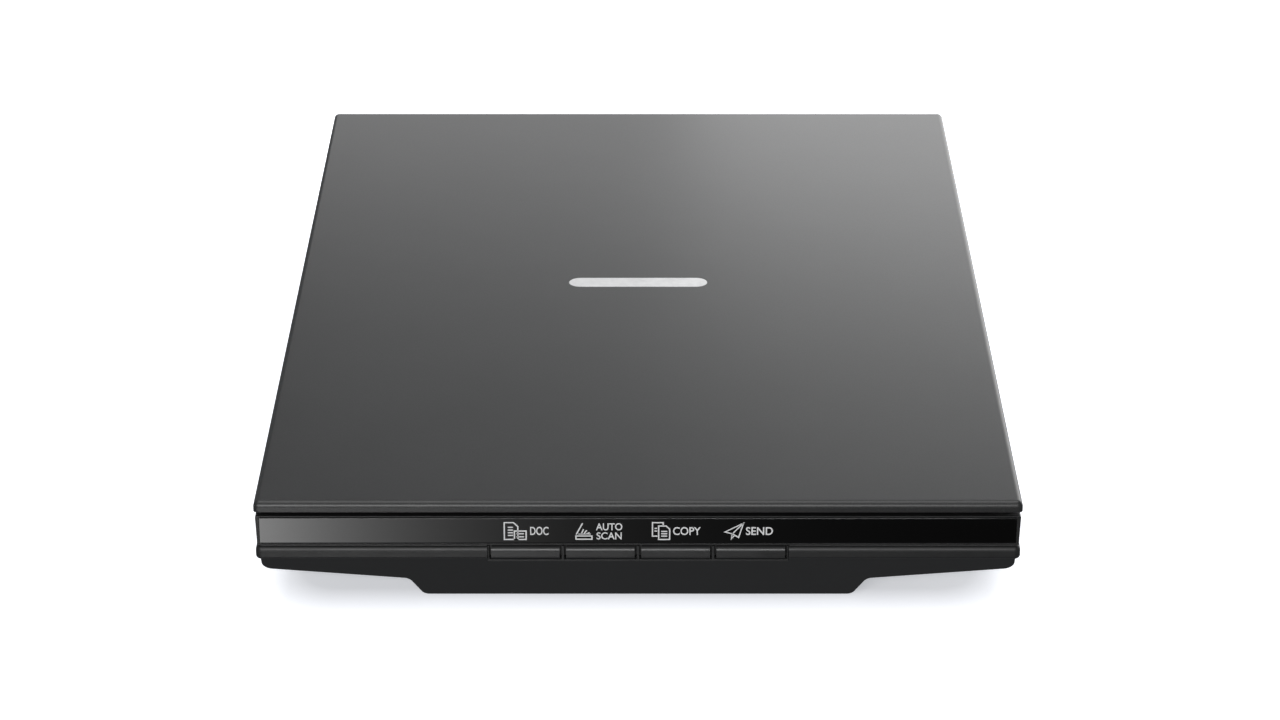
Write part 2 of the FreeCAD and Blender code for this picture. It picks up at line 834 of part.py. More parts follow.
def feet():
    names = ("foot_front_left", "foot_back_left", "foot_front_right", "foot_back_right")
    for name, place in zip(names, foot_places()):
        pad = drum(f"{name}_pad", "foot_round", "Z", place, "0", "belly_low + foot_sink")
        keep(name, pad)


def screw(name, place, head, shank, drive, radius, head_radius):
    """A pan-head screw along Z. head, shank and drive are the spans of its head, shank and cross recess."""
    solid = fuse(
        f"{name}_solid",
        drum(f"{name}_head", head_radius, "Z", place, *head),
        drum(f"{name}_shank", radius, "Z", place, *shank),
    )
    slots = []
    for n, (a, b) in enumerate(((1.4, 0.3), (0.3, 1.4))):
        x = (f"{place[0]} - {a}", f"{place[0]} + {a}")
        y = (f"{place[1]} - {b}", f"{place[1]} + {b}")
        slots.append(block(f"{name}_slot_{n}", x, y, drive))
    return cut(name, solid, *slots)


def screws():
    spans = [
        ("screw_low", "screw_seat"),
        ("screw_seat", "frame_low + screw_bite"),
        ("screw_low - 0.1", "screw_low + 0.8"),
    ]
    sizes = ("screw_round", "screw_head")
    case = [screw(f"case_screw_{n}", place, *spans, *sizes) for n, place in enumerate(screw_places())]
    keep("case_screws", group("case_screw_group", *case))
    small = []
    decks = {
        "board_screw": ("board_low + board_thick", board_screws()),
        "motor_screw": ("motor_low", motor_screws()),
    }
    sizes = ("tapping_round", "tapping_head")
    for name, (deck, places) in decks.items():
        spans = [(deck, f"{deck} + 1.2"), ("belly_low + 1.4", deck), (f"{deck} + 0.6", f"{deck} + 1.3")]
        small += [screw(f"{name}_{n}", place, *spans, *sizes) for n, place in enumerate(places)]
    keep("tapping_screws", group("tapping_screw_group", *small))


# ---------------------------------------------------------------- buttons


BUTTONS = ("button_document", "button_auto_scan", "button_copy", "button_send")


def button_middle(index):
    return f"button_pitch * {index - 1.5}"


def button_parts():
    plate = ("comb_plate", "comb_plate + comb_plate_thick")
    whole = ("-comb_half", "comb_half")
    ribs = [
        block("comb_sill_bar", whole, ("comb_front", plate[1]), ("comb_low", "comb_low + comb_sill")),
        block("comb_plate_wall", whole, plate, ("comb_low", "rim_top - 0.15")),
    ]
    for n in range(5):
        middle = f"button_pitch * {n - 2}"
        x = (f"{middle} - comb_rib / 2", f"{middle} + comb_rib / 2")
        if n == 0:
            x = ("-comb_half", x[1])
        elif n == 4:
            x = (x[0], "comb_half")
        ribs.append(block(f"comb_rib_{n}", x, ("comb_front", "comb_back"), ("comb_low", "rim_top - 0.15")))
    holes = []
    for index in range(len(BUTTONS)):
        middle = button_middle(index)
        stem = around(middle, "(stem_half + stem_play)")
        holes.append(block(f"comb_stem_hole_{index}", stem, (f"{plate[0]} - 0.2", f"{plate[1]} + 1"),
                           ("button_low + 0.7", "button_high - 0.5")))
    keep("button_comb", cut("comb_whole", fuse("comb_solid", *ribs), *holes))

    for index, name in enumerate(BUTTONS):
        middle = button_middle(index)
        x = (f"{middle} - button_wide / 2", f"{middle} + button_wide / 2")
        cap = slab(f"{name}_cap", x, ("rim_front", "comb_back + 0.6"), ("button_low", "button_high"))
        face = size("rim_front")
        soften(cap, "rim_round", [{"y": face, "z": size("button_high")}])
        soften(cap, "rim_round_low", [{"y": face, "z": size("button_low")}])
        flange = block(
            f"{name}_flange",
            (f"{middle} - button_pitch / 2 + 0.15", f"{middle} + button_pitch / 2 - 0.15"),
            ("comb_back + 0.15", "comb_back + 1"),
            ("button_low + 0.1", "button_high"),
        )
        stem = block(
            f"{name}_stem",
            around(middle, "stem_half"),
            ("comb_back + 0.8", "comb_back + 2.2"),
            ("button_low + 1", "button_high - 0.8"),
        )
        keep(name, fuse(f"{name}_whole", cap, flange, stem))

    board = block(
        "key_board_plate",
        ("-key_board_half", "key_board_half"),
        ("key_board", "key_board + key_board_thick"),
        ("key_board_low", "key_board_high"),
    )
    keep("button_board", board)

    switches = []
    for index in range(len(BUTTONS)):
        middle = button_middle(index)
        case = block(
            f"switch_{index}",
            around(middle, "switch_half"),
            ("key_board - switch_deep", "key_board"),
            around("switch_z", "switch_half_high"),
        )
        span = ("key_board - switch_deep - knob_long", "key_board - switch_deep")
        knob = drum(f"switch_knob_{index}", "knob_round", "Y", (middle, "switch_z"), *span)
        switches.append(fuse(f"switch_whole_{index}", case, knob))
    keep("button_switches", group("switch_group", *switches))


# ---------------------------------------------------------------- carriage and image sensor


def carriage_parts():
    y = ("home - carriage_depth_half", "home + carriage_depth_half")
    full = ("-carriage_half", "carriage_half")
    tray = block("tray", full, y, ("carriage_low", "carriage_wall_top"))
    pocket = block(
        "tray_pocket",
        ("-carriage_half + carriage_wall", "carriage_half - carriage_wall"),
        ("home - carriage_depth_half + carriage_wall", "home + carriage_depth_half - carriage_wall"),
        ("carriage_low + carriage_floor", "carriage_wall_top + 1"),
    )
    plug_slot = block(
        "plug_slot",
        ("ribbon_left - 2.2", "ribbon_right + 2.2"),
        ("home - 3.2", "home + 3.2"),
        ("carriage_low - 1", "carriage_low + carriage_floor + 1"),
    )
    saddle = block("saddle", around("rod_x", "saddle_half"), y, ("rod_z - saddle_deep", "carriage_low + 0.5"))
    seat = drum("bush_seat", "bush_round + 0.02", "Y", ("rod_x", "rod_z"), *past(y))
    solid = fuse("carriage_solid", tray, saddle)
    keep("carriage_frame", cut("carriage_whole", solid, pocket, plug_slot, seat))

    bushes = []
    for n, span in enumerate(((y[0], f"{y[0]} + bush_long"), (f"{y[1]} - bush_long", y[1]))):
        outer = drum(f"bush_outer_{n}", "bush_round", "Y", ("rod_x", "rod_z"), *span)
        hole = drum(f"bush_hole_{n}", "rod_round + rod_play", "Y", ("rod_x", "rod_z"), *past(span))
        bushes.append(cut(f"bush_{n}", outer, hole))
    keep("rod_bushes", group("bush_group", *bushes))

    strand = "drive_x - drive_belt_round - belt_thick / 2"
    span = ("home - clamp_front", "home + clamp_back")
    grip = block("clamp_block", around(strand, "clamp_half"), span, ("belt_low - 0.3", "carriage_low"))
    throat = around(strand, "clamp_slot_half")
    slot = block("clamp_slot", throat, past(span), ("belt_low - 1", "belt_high + 0.3"))
    keep("belt_clamp", cut("clamp_whole", grip, slot))

    radius, wire, turns = size("spring_round"), size("spring_wire"), size("spring_turns")
    low = size("carriage_low") + size("carriage_floor")
    high = size("sensor_low") + size("spring_cup_deep") - 0.1
    places = [Vector(side * size("spring_x"), size("home"), 0) for side in (-1, 1)]
    springs = [coil(radius, wire, low, high, turns, place) for place in places]
    keep("sensor_springs", shaped("sensor_spring_pair", Part.makeCompound(springs)))
    sensor_parts()


def coil(radius, wire, low, high, turns, centre):
    """A helical spring standing along Z, its wire's skin between the low and high levels."""
    rise = high - low - 2 * wire
    helix = Part.makeHelix(rise / turns, rise, radius)
    start = Vector(radius, 0, 0)
    ring = Part.Wire(Part.makeCircle(wire, start, Vector(0, 1, rise / turns / (2 * math.pi * radius))))
    solid = Part.Wire(helix.Edges).makePipeShell([ring], True, True)
    solid.translate(centre + Vector(0, 0, low + wire))
    return solid


def sensor_parts():
    floor = "sensor_low + sensor_floor"
    body = block(
        "sensor_body",
        ("-sensor_half", "sensor_half"),
        around("home", "sensor_depth_half"),
        ("sensor_low", "sensor_top"),
    )
    cover_bay = block(
        "cover_bay",
        around("0", "(cover_half + 0.2)"),
        around("home", "(cover_deep_half + 0.2)"),
        ("sensor_top - cover_thick - 0.1", "sensor_top + 1"),
    )
    light_bay = block(
        "light_bay",
        ("-light_bay_half", "light_bay_half"),
        around("home", "light_bay_deep_half"),
        (floor, "sensor_top"),
    )
    places = [(f"{side}spring_x", "home") for side in "-+"]
    cups = drums("spring_cup", "spring_cup_round", places, "sensor_low - 1", "sensor_low + spring_cup_deep")
    lids = drums("spring_lid", "spring_lid_round", places, "sensor_low", f"{floor} + 1.6")
    wells = fuse("sensor_wells", cover_bay, cut("light_bay_short", light_bay, *lids))
    glide = block(
        "glide_right",
        ("glide_inner", "glide_outer"),
        around("home", "glide_deep_half"),
        ("sensor_top - 1", "sensor_top + glide_proud"),
    )
    hollow = cut("sensor_hollow", body, wells, *cups)
    keep("sensor_housing", fuse("sensor_whole", hollow, glide, mirror("glide_left", glide)))

    cover = block(
        "cover_pane",
        ("-cover_half", "cover_half"),
        around("home", "cover_deep_half"),
        ("sensor_top - cover_thick", "sensor_top"),
    )
    keep("sensor_cover_glass", cover)
    along = ("-scan_half", "scan_half")
    lens = block("lens_bar", along, around("home", "lens_half"), (floor, "sensor_top - 1.6"))
    keep("sensor_lens_array", lens)
    section = [
        ("home + 2.2", f"{floor} + 1"),
        ("home + 4.4", f"{floor} + 1"),
        ("home + 4.4", "sensor_top - 2"),
        ("home + 3.2", "sensor_top - 2"),
        ("home + 2.2", "sensor_top - 3.4"),
    ]
    keep("sensor_light_guide", prism("light_bar", "YZ", section, *along))
    board_low = "sensor_low - sensor_board_thick"
    board = block("sensor_plate", along, around("home", "sensor_board_half"), (board_low, "sensor_low"))
    keep("sensor_board", board)
    plug = block(
        "sensor_plug_block",
        ("ribbon_left - plug_margin", "ribbon_right + plug_margin"),
        around("home", "plug_deep_half"),
        ("carriage_low - plug_drop", board_low),
    )
    slot = block(
        "sensor_plug_slot",
        ("ribbon_left - 0.2", "ribbon_right + 0.2"),
        ("home - 3", "home"),
        ("carriage_low - 0.9", "carriage_low - 0.1"),
    )
    keep("sensor_plug", cut("sensor_plug_whole", plug, slot))


# ---------------------------------------------------------------- drive


def gear_outline(teeth, turn):
    """A closed wire round a spur gear with stub involute teeth, one of them centred on the angle turn."""
    module = size("gear_module")
    pitch = module * teeth / 2
    base, tip, root = pitch * math.cos(math.radians(20)), pitch + 0.8 * module, pitch - 1.15 * module
    start = max(base, root)

    def spread(radius):
        lean = math.acos(min(1.0, base / radius))
        return math.tan(lean) - lean

    def point(radius, angle):
        return Vector(radius * math.cos(angle), radius * math.sin(angle), 0)

    half = math.pi / (2 * teeth) - size("gear_backlash") / (2 * pitch) + spread(pitch)
    foot = half - spread(start)
    radii = [start + (tip - start) * k / 4 for k in range(5)]
    edges = []
    for tooth in range(teeth):
        middle = turn + 2 * math.pi * tooth / teeth
        following = middle + 2 * math.pi / teeth
        rising = [point(r, middle - half + spread(r)) for r in radii]
        falling = [point(r, middle + half - spread(r)) for r in reversed(radii)]
        flanks = []
        for points in (rising, falling):
            flank = Part.BSplineCurve()
            flank.interpolate(points)
            flanks.append(flank.toShape())
        edges.append(flanks[0])
        edges.append(Part.Arc(rising[-1], point(tip, middle), falling[0]).toShape())
        edges.append(flanks[1])
        low, next_low = falling[-1], point(start, following - foot)
        if root < start:
            floor, next_floor = point(root, middle + foot), point(root, following - foot)
            edges.append(Part.LineSegment(low, floor).toShape())
            edges.append(Part.Arc(floor, point(root, (middle + following) / 2), next_floor).toShape())
            edges.append(Part.LineSegment(next_floor, next_low).toShape())
        else:
            edges.append(Part.Arc(low, point(root, (middle + following) / 2), next_low).toShape())
    return Part.Wire(edges)


def spur(teeth, turn, low, high, centre):
    """A spur gear between two levels, on a centre."""
    face = Part.Face(gear_outline(teeth, turn))
    solid = face.extrude(Vector(0, 0, high - low))
    solid.translate(Vector(*centre, low))
    return solid


def disc(radius, low, high, centre):
    return Part.makeCylinder(radius, high - low, Vector(*centre, low))


def loop(centres, radii):
    """A closed wire that wraps two circles with two outer tangents."""
    (first, second), (r1, r2) = centres, radii
    along = second - first
    lean = math.acos((r1 - r2) / along.Length)
    heading = math.atan2(along.y, along.x)

    def on(centre, radius, angle):
        return centre + Vector(radius * math.cos(angle), radius * math.sin(angle), 0)

    left, right = heading + lean, heading - lean
    a1, a2 = on(first, r1, left), on(first, r1, right)
    b1, b2 = on(second, r2, left), on(second, r2, right)
    return Part.Wire([
        Part.LineSegment(a1, b1).toShape(),
        Part.Arc(b1, on(second, r2, heading), b2).toShape(),
        Part.LineSegment(b2, a2).toShape(),
        Part.Arc(a2, on(first, r1, heading + math.pi), a1).toShape(),
    ])


def drive_parts():
    drive = (size("drive_x"), size("drive_y"))
    idler = (size("idler_x"), size("idler_y"))
    motor = motor_centre()
    low, high, thick = size("belt_low"), size("belt_high"), size("belt_thick")
    inner = (size("drive_belt_round"), size("idler_belt_round"))

    rod = drum("rod", "rod_round", "Y", ("rod_x", "rod_z"), "rod_front", "rod_back")
    keep("guide_rod", rod)
    clips = []
    for n, span in enumerate((("rod_front + 0.6", "rod_front + 3.2"), ("rod_back - 4.6", "rod_back - 0.4"))):
        arch = drum(f"clip_arch_{n}", "rod_round + clip_thick", "Y", ("rod_x", "rod_z"), *span)
        hollow = drum(f"clip_hollow_{n}", "rod_round + rod_play", "Y", ("rod_x", "rod_z"), *past(span))
        whole = around("rod_x", "clip_half")
        under = block(f"clip_under_{n}", whole, past(span), ("rod_z - 6", "rod_z + 0.05"))
        wings = block(f"clip_wings_{n}", whole, span, ("rod_z + 0.05", "rod_z + 0.05 + clip_thick"))
        clips.append(cut(f"clip_{n}", fuse(f"clip_solid_{n}", arch, wings), hollow, under))
    keep("rod_clips", group("clip_pair", *clips))

    # the belt: a plain loop that wraps both pulleys
    ends = [Vector(*drive, low), Vector(*idler, low)]
    outside = Part.Face(loop(ends, [r + thick for r in inner])).extrude(Vector(0, 0, high - low))
    inside = Part.Face(loop(ends, inner)).extrude(Vector(0, 0, high - low))
    keep("drive_belt", shaped("belt_loop", outside.cut(inside)))

    gear_low, gear_high = size("gear_low"), size("gear_high")
    wheel = spur(int(size("gear_teeth")), 0.0, gear_low, gear_high, drive)
    grooves = 18
    drum_round = inner[0] - 0.2
    core = disc(drum_round, gear_high, high + 1.0, drive)
    for k in range(grooves):
        turn = 2 * math.pi * k / grooves
        across = Vector(math.cos(turn), math.sin(turn), 0) * drum_round
        place = Vector(*drive, low - 0.2) + across
        core = core.cut(Part.makeCylinder(size("groove_round"), high - low + 0.4, place))
    flanges = [disc(inner[0] + thick + 0.3, gear_high, low - 0.3, drive),
               disc(inner[0] + thick + 0.3, high + 0.3, high + 1.1, drive)]
    hole_round, away = size("gear_lightening"), size("gear_lightening_at")
    holes = []
    for k in range(6):
        turn = math.pi / 3 * k
        centre = (drive[0] + away * math.cos(turn), drive[1] + away * math.sin(turn))
        holes.append(disc(hole_round, gear_low - 1, gear_high + 1, centre))
    bore = disc(size("axle_round") + 0.05, gear_low - 1, high + 2, drive)
    solid = wheel.fuse([core, *flanges]).cut([bore, *holes]).removeSplitter()
    keep("drive_gear", shaped("gear_and_pulley", solid))
    axle = drum("axle", "axle_round", "Z", ("drive_x", "drive_y"), "belly_low + 1", "belt_high + 1.9")

    # motor: a flat stepper hung from its flange, with the pinion under it in mesh with the gear
    place = motor_place()
    can = fuse(
        "motor_case",
        drum("motor_can_drum", "motor_round", "Z", place, "motor_low", "motor_high"),
        drum("motor_cap", "motor_cap_round", "Z", place, "motor_high", "motor_high + motor_cap_high"),
    )
    bore = drum("motor_bore_drum", "motor_bore", "Z", place, "0", "motor_high - 2")
    keep("motor_can", cut("motor_whole", can, bore))
    flange_z = ("motor_low - flange_thick", "motor_low")
    ears = block(
        "motor_ears",
        around(place[0], "motor_ear_half"),
        around("drive_y", "motor_ear_reach"),
        flange_z,
    )
    plate = fuse("motor_plate", ears, drum("motor_disc", "motor_round", "Z", place, *flange_z))
    holes = drums("ear_hole", "tapping_clear", motor_screws(), "motor_low - 2", "motor_low + 1")
    bore = drum("flange_bore_drum", "flange_bore", "Z", place, "0", "motor_high")
    keep("motor_flange", cut("motor_flange_whole", plate, *holes, bore))
    half_tooth = math.pi / size("pinion_teeth")
    pinion = spur(int(size("pinion_teeth")), half_tooth, gear_low - 0.1, gear_high, motor)
    pinion = pinion.cut(disc(size("shaft_round") + 0.01, 0, 20, motor))
    keep("motor_pinion", shaped("pinion", pinion))
    keep("motor_shaft", drum("shaft", "shaft_round", "Z", place, "gear_low - 0.1", "motor_high - 2.5"))

    roller = disc(inner[1] - 0.15, low - 0.3, high + 0.3, idler)
    rims = [disc(inner[1] + thick + 0.4, low - 0.9, low - 0.3, idler),
            disc(inner[1] + thick + 0.4, high + 0.3, high + 0.9, idler)]
    bore = disc(size("idler_pin_round") + 0.05, 0, 20, idler)
    keep("idler_pulley", shaped("idler", roller.fuse(rims).cut(bore).removeSplitter()))
    deck = "belly_low + 2.1"
    top = f"{deck} + bracket_thick"
    pin = drum("idler_pin", "idler_pin_round", "Z", ("idler_x", "idler_y"), top, "belt_high + 1.6")
    keep("pulley_axles", group("axle_pair", axle, pin))

    base = block(
        "bracket_base",
        around("idler_x", "bracket_half"),
        ("idler_y - 3.2", "bracket_back"),
        (deck, top),
    )
    tab = block(
        "bracket_tab",
        ("idler_x - 0.5", "idler_x + bracket_half"),
        ("bracket_back - bracket_thick", "bracket_back"),
        (deck, "bracket_tab_high"),
    )
    keep("idler_bracket", fuse("bracket_whole", base, tab))
    start = Vector(size("push_x"), size("bracket_back") + 0.5, size("push_z"))
    spring = coil(size("push_round"), size("push_wire"), 0, size("push_long"), size("push_turns"), Vector())
    keep("idler_spring", shaped("idler_push_spring", spring, Placement(start, Rotation(Z, Y))))


def motor_place():
    return motor_screws()[0][0], "drive_y"


# ---------------------------------------------------------------- electronics


def ribbon(name, path, thick, x):
    """A flat cable of even thickness that follows a path of (y, z) points, between two X levels."""
    points = [Vector(x[0], y, z) for y, z in path]
    upper, lower = [], []
    for k, point in enumerate(points):
        before = points[max(k - 1, 0)]
        after = points[min(k + 1, len(points) - 1)]
        ahead = (after - before).normalize()
        side = Vector(0, -ahead.z, ahead.y) * (thick / 2)
        upper.append(point + side)
        lower.append(point - side)
    ring = upper + lower[::-1]
    face = Part.Face(Part.makePolygon(ring + [ring[0]]))
    return shaped(name, face.extrude(Vector(x[1] - x[0], 0, 0)))


# the board's larger parts: X span, Y span and height of each, and the middles of the capacitors
CHIPS = {
    "processor": (("-49", "-35"), ("122", "136"), "1.4"),
    "memory": (("-48", "-37"), ("142", "160"), "1.1"),
    "driver": (("-32", "-26"), ("146", "154"), "1.4"),
    "crystal": (("-54", "-51"), ("127", "135"), "2.2"),
    "coil": (("-60", "-54"), ("142", "148"), "3"),
}
CAPACITORS = (("-58.5", "118"), ("-58.5", "127"), ("-26", "128"), ("-26", "160"))


def electronics():
    board_z = ("board_low", "board_low + board_thick")
    plate = block("main_plate", ("board_left", "board_right"), ("board_front", "board_back"), board_z)
    holes = drums("plate_hole", "tapping_clear", board_screws(), "board_low - 1", "board_low + 3")
    notch_y = ("board_back - 8.7", "board_back + 1")
    corner = block("plate_notch", ("board_left - 1", "-47.9"), notch_y, ("0", "board_low + 3"))
    keep("main_board", cut("main_board_whole", plate, corner, *holes))

    top = board_z[1]

    def chip(name, x, y, high):
        return block(name, x, y, (top, f"{top} + {high}"))

    chips = [chip(f"chip_{name}", x, y, high) for name, (x, y, high) in CHIPS.items()]
    cans = drums("capacitor", "capacitor_round", CAPACITORS, top, f"{top} + capacitor_high")
    keep("board_components", group("component_group", *chips, *cans))
    sockets = [
        cut(
            "ribbon_socket",
            chip(
                "ribbon_socket_body",
                ("ribbon_left - 1", "ribbon_right + 1"),
                ("board_front", "board_front + 5"),
                "2.6",
            ),
            block(
                "ribbon_socket_slot",
                ("ribbon_left - 0.2", "ribbon_right + 0.2"),
                ("board_front - 1", "board_front + 3"),
                (f"{top} + 0.7", f"{top} + 1.5"),
            ),
        ),
        cut(
            "key_socket",
            chip("key_socket_body", ("-63", "-54"), ("board_front + 7", "board_front + 11"), "2.4"),
            block("key_socket_slot", ("-62", "-55"), ("board_front + 6", "board_front + 9"),
                  (f"{top} + 0.7", f"{top} + 1.4")),
        ),
        chip("motor_socket", ("board_right - 4.5", "board_right"), ("134", "141"), "3.2"),
        block("usb_tongue", ("usb_x - 2.7", "usb_x + 2.7"), ("base_back - 9.2", "base_back - 2.4"),
              (f"{top} + 1.6", f"{top} + 2.3")),
    ]
    keep("board_connectors", group("connector_group", *sockets))

    usb_back = "base_back - 0.6"
    usb_front = f"{usb_back} - usb_long"
    shell = block("usb_outer", around("usb_x", "usb_half"), (usb_front, usb_back), (top, f"{top} + usb_high"))
    mouth = block(
        "usb_mouth",
        around("usb_x", "(usb_half - usb_wall)"),
        (f"{usb_front} + 0.4", "base_back"),
        (f"{top} + usb_wall", f"{top} + usb_high - usb_wall"),
    )
    keep("usb_port", cut("usb_shell", shell, mouth))

    # sensor cable: from the board's socket down to the floor, forward, folded back and up to the plug
    ribbon_x = (size("ribbon_left"), size("ribbon_right"))
    thick = size("ribbon_thick")
    floor = size("belly_low") + size("hull_wall") + 0.3
    socket_z = size("board_low") + size("board_thick") + 1.1
    plug_z = size("carriage_low") - 0.5
    fold_y, bend = size("fold_y"), size("fold_round")
    turns = [math.pi * k / 6 for k in range(7)]
    fold = [(fold_y - bend * math.sin(t), floor + bend - bend * math.cos(t)) for t in turns]
    slope = (plug_z - floor - 2 * bend) / 149
    rise = [(y, floor + 2 * bend + slope * (y - fold_y)) for y in (40, 90, 130, 143.6)]
    path = [(103.5, socket_z), (99.5, socket_z), (97.0, socket_z - 1.2), (94.5, floor + 1), (91, floor)]
    path += fold + rise
    path.append((145.4, plug_z))
    keep("sensor_ribbon", ribbon("sensor_cable", path, thick, ribbon_x))

    # button cable: from the button board, down the slanted front and along the floor to the main board
    key_x = (size("key_ribbon_left"), size("key_ribbon_right"))
    key = [(-172.2, 22.0), (-171.4, 18.0), (-168.8, 13.0), (-166.2, 7.6), (-163.5, floor + 0.2)]
    key += [(-160, floor), (90, floor), (97, floor + 0.3), (99.6, floor + 3)]
    key += [(101.5, socket_z - 0.1), (109.6, socket_z - 0.1)]
    cable = ribbon("button_cable_long", key, thick, key_x)
    board_back = "key_board + key_board_thick"
    lead = block(
        "button_cable_lead",
        ("key_ribbon_left", "1 - key_board_half"),
        (f"{board_back} + 0.05", f"{board_back} + 0.35"),
        ("20", "24"),
    )
    keep("button_ribbon", fuse("button_cable", cable, lead))

    # motor lead: from the board's socket down to the floor, round the motor and up its far side
    far = f"{motor_place()[0]} + motor_round"
    turn, low, high = "36.4", "lead_low", "lead_low + lead_thick"
    riser = block("motor_lead_up", (f"{far} + 0.1", f"{far} + 1.1"), ("155", "161"), (low, "12"))
    across = [
        ("board_right + 0.1", "lead_front"),
        ("41", "lead_front"),
        ("41", "161"),
        (turn, "161"),
        (turn, "lead_back"),
        ("board_right + 0.1", "lead_back"),
    ]
    lead = prism("motor_lead", "XY", across, low, high)
    beside = ("board_right + 0.1", "board_right + 1.1")
    end = block("motor_lead_end", beside, ("lead_front", "lead_back"), (low, "10.4"))
    keep("motor_cable", fuse("motor_cable_whole", riser, lead, end))


# ---------------------------------------------------------------- build, check and write


def write_parts():
    doc.recompute()
    failed = [o.Label for o in doc.Objects if {"Invalid", "Error"} & set(o.State)]
    if failed:
        raise RuntimeError(f"these features failed: {failed}")
    os.makedirs("parts", exist_ok=True)
    names = [feature.Label for feature in finished]
    if len(set(names)) != len(names) or len(names) > 60:
        raise RuntimeError(f"{len(names)} sub-parts, or two with one name")
    for feature in finished:
        shape = feature.Shape
        if shape.isNull() or not shape.isValid() or not shape.Solids:
            raise RuntimeError(f"{feature.Label} is not a valid solid")
        shape.exportStep(f"parts/{feature.Label}.step")
        print(f"{feature.Label:22s} solids {len(shape.Solids)}  volume {shape.Volume:10.1f} mm3")


lid_parts()
hinge_parts()
frame_parts()
lower_case()
feet()
screws()
button_parts()
carriage_parts()
drive_parts()
electronics()
write_parts()
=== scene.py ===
"""The looks of a flatbed scanner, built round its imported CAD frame. Lengths are in metres."""

import json
import math
import random

import bmesh
import bpy
from mathutils import Euler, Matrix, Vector


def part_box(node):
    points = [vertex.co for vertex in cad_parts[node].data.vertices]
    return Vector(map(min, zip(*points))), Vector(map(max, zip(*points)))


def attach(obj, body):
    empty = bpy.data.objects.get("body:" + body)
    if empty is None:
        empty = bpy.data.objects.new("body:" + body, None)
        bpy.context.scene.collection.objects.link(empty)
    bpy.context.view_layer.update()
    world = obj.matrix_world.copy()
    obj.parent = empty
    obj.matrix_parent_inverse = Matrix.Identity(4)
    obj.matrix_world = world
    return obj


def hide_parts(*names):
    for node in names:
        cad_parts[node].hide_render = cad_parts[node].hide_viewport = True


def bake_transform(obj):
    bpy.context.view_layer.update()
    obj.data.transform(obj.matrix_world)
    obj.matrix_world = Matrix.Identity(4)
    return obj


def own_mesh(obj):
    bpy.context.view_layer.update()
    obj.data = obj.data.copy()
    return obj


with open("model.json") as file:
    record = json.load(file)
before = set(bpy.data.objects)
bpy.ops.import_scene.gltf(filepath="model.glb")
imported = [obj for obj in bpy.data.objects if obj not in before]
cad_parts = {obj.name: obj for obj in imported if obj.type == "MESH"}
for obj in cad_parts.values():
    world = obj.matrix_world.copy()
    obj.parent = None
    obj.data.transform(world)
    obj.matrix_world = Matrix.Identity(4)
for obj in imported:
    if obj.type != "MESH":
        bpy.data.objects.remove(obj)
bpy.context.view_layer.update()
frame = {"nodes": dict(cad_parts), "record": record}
nodes = frame["nodes"]

MM = 0.001
INK_THICK, INK_SUNK = 0.02 * MM, 0.002 * MM


# ---------------------------------------------------------------- materials


class Finish:
    """One procedural material: a Principled shader and its nodes, placed by the piece's own axes."""

    def __init__(self, name, **plain):
        self.material = bpy.data.materials.new(name)
        self.material.use_nodes = True
        self.tree = self.material.node_tree
        self.shader = self.tree.nodes["Principled BSDF"]
        self.output = self.tree.nodes["Material Output"]
        for word, value in plain.items():
            self.shader.inputs[SOCKETS[word]].default_value = value
        self.place = self.add("TexCoord").outputs["Object"]

    def add(self, kind, inputs=None, **settings):
        """A new node, with its settings and its inputs, which are plain values or other nodes' outputs."""
        node = self.tree.nodes.new("ShaderNode" + kind)
        for word, value in settings.items():
            setattr(node, word, value)
        for socket, value in (inputs or {}).items():
            if isinstance(value, bpy.types.NodeSocket):
                self.tree.links.new(value, node.inputs[socket])
            else:
                node.inputs[socket].default_value = value
        return node

    def feed(self, word, value):
        self.tree.links.new(value, self.shader.inputs[SOCKETS[word]])

    def noise(self, size, detail=2.0, rough=0.5, stretch=(1, 1, 1)):
        """Noise from 0 to 1 whose blobs are about size across, drawn out by stretch along each axis."""
        scale = [1 / (size * s) for s in stretch]
        place = self.add("Mapping", {"Vector": self.place, "Scale": scale}).outputs["Vector"]
        settings = {"Vector": place, "Scale": 1.0, "Detail": detail, "Roughness": rough}
        return self.add("TexNoise", settings).outputs["Fac"]

    def cells(self, size):
        """Distance from the middle of the nearest of many cells about size across."""
        return self.add("TexVoronoi", {"Vector": self.place, "Scale": 1 / size}).outputs["Distance"]

    def axis(self, letter):
        """The place along one axis, in metres."""
        return self.add("SeparateXYZ", {"Vector": self.place}).outputs[letter]

    def span(self, value, low, high, to_low=0.0, to_high=1.0):
        """The value's range from low to high, spread over another range."""
        inputs = {"Value": value, "From Min": low, "From Max": high, "To Min": to_low, "To Max": to_high}
        return self.add("MapRange", inputs).outputs["Result"]

    def sum(self, first, second, kind="ADD"):
        """Two values added, or put together by another kind of sum."""
        return self.add("Math", {0: first, 1: second}, operation=kind).outputs["Value"]

    def colours(self, value, *stops):
        """The value turned into a colour between stops, each a place from 0 to 1 and a colour."""
        node = self.add("ValToRGB", {"Fac": value})
        elements = node.color_ramp.elements
        for index, (place, colour) in enumerate(stops):
            element = elements[index] if index < 2 else elements.new(place)
            element.position = place
            element.color = (*colour, 1.0)
        return node.outputs["Color"]

    def lift(self, height, depth, below=None):
        """A bumpy normal from a height of 0 to 1 that stands for depth metres, on top of another normal."""
        inputs = {"Height": height, "Distance": depth}
        if below is not None:
            inputs["Normal"] = below
        return self.add("Bump", inputs).outputs["Normal"]

    def rounding(self, radius):
        """The normal of a surface whose sharp edges are broken to this radius."""
        return self.add("Bevel", {"Radius": radius}, samples=4).outputs["Normal"]

    def edges(self, radius):
        """1 along the edges and 0 on the flat stretches between them."""
        flat = self.add("NewGeometry").outputs["Normal"]
        facing = self.add("VectorMath", {0: self.rounding(radius), 1: flat}, operation="DOT_PRODUCT")
        return self.span(facing.outputs["Value"], 0.999, 0.9)


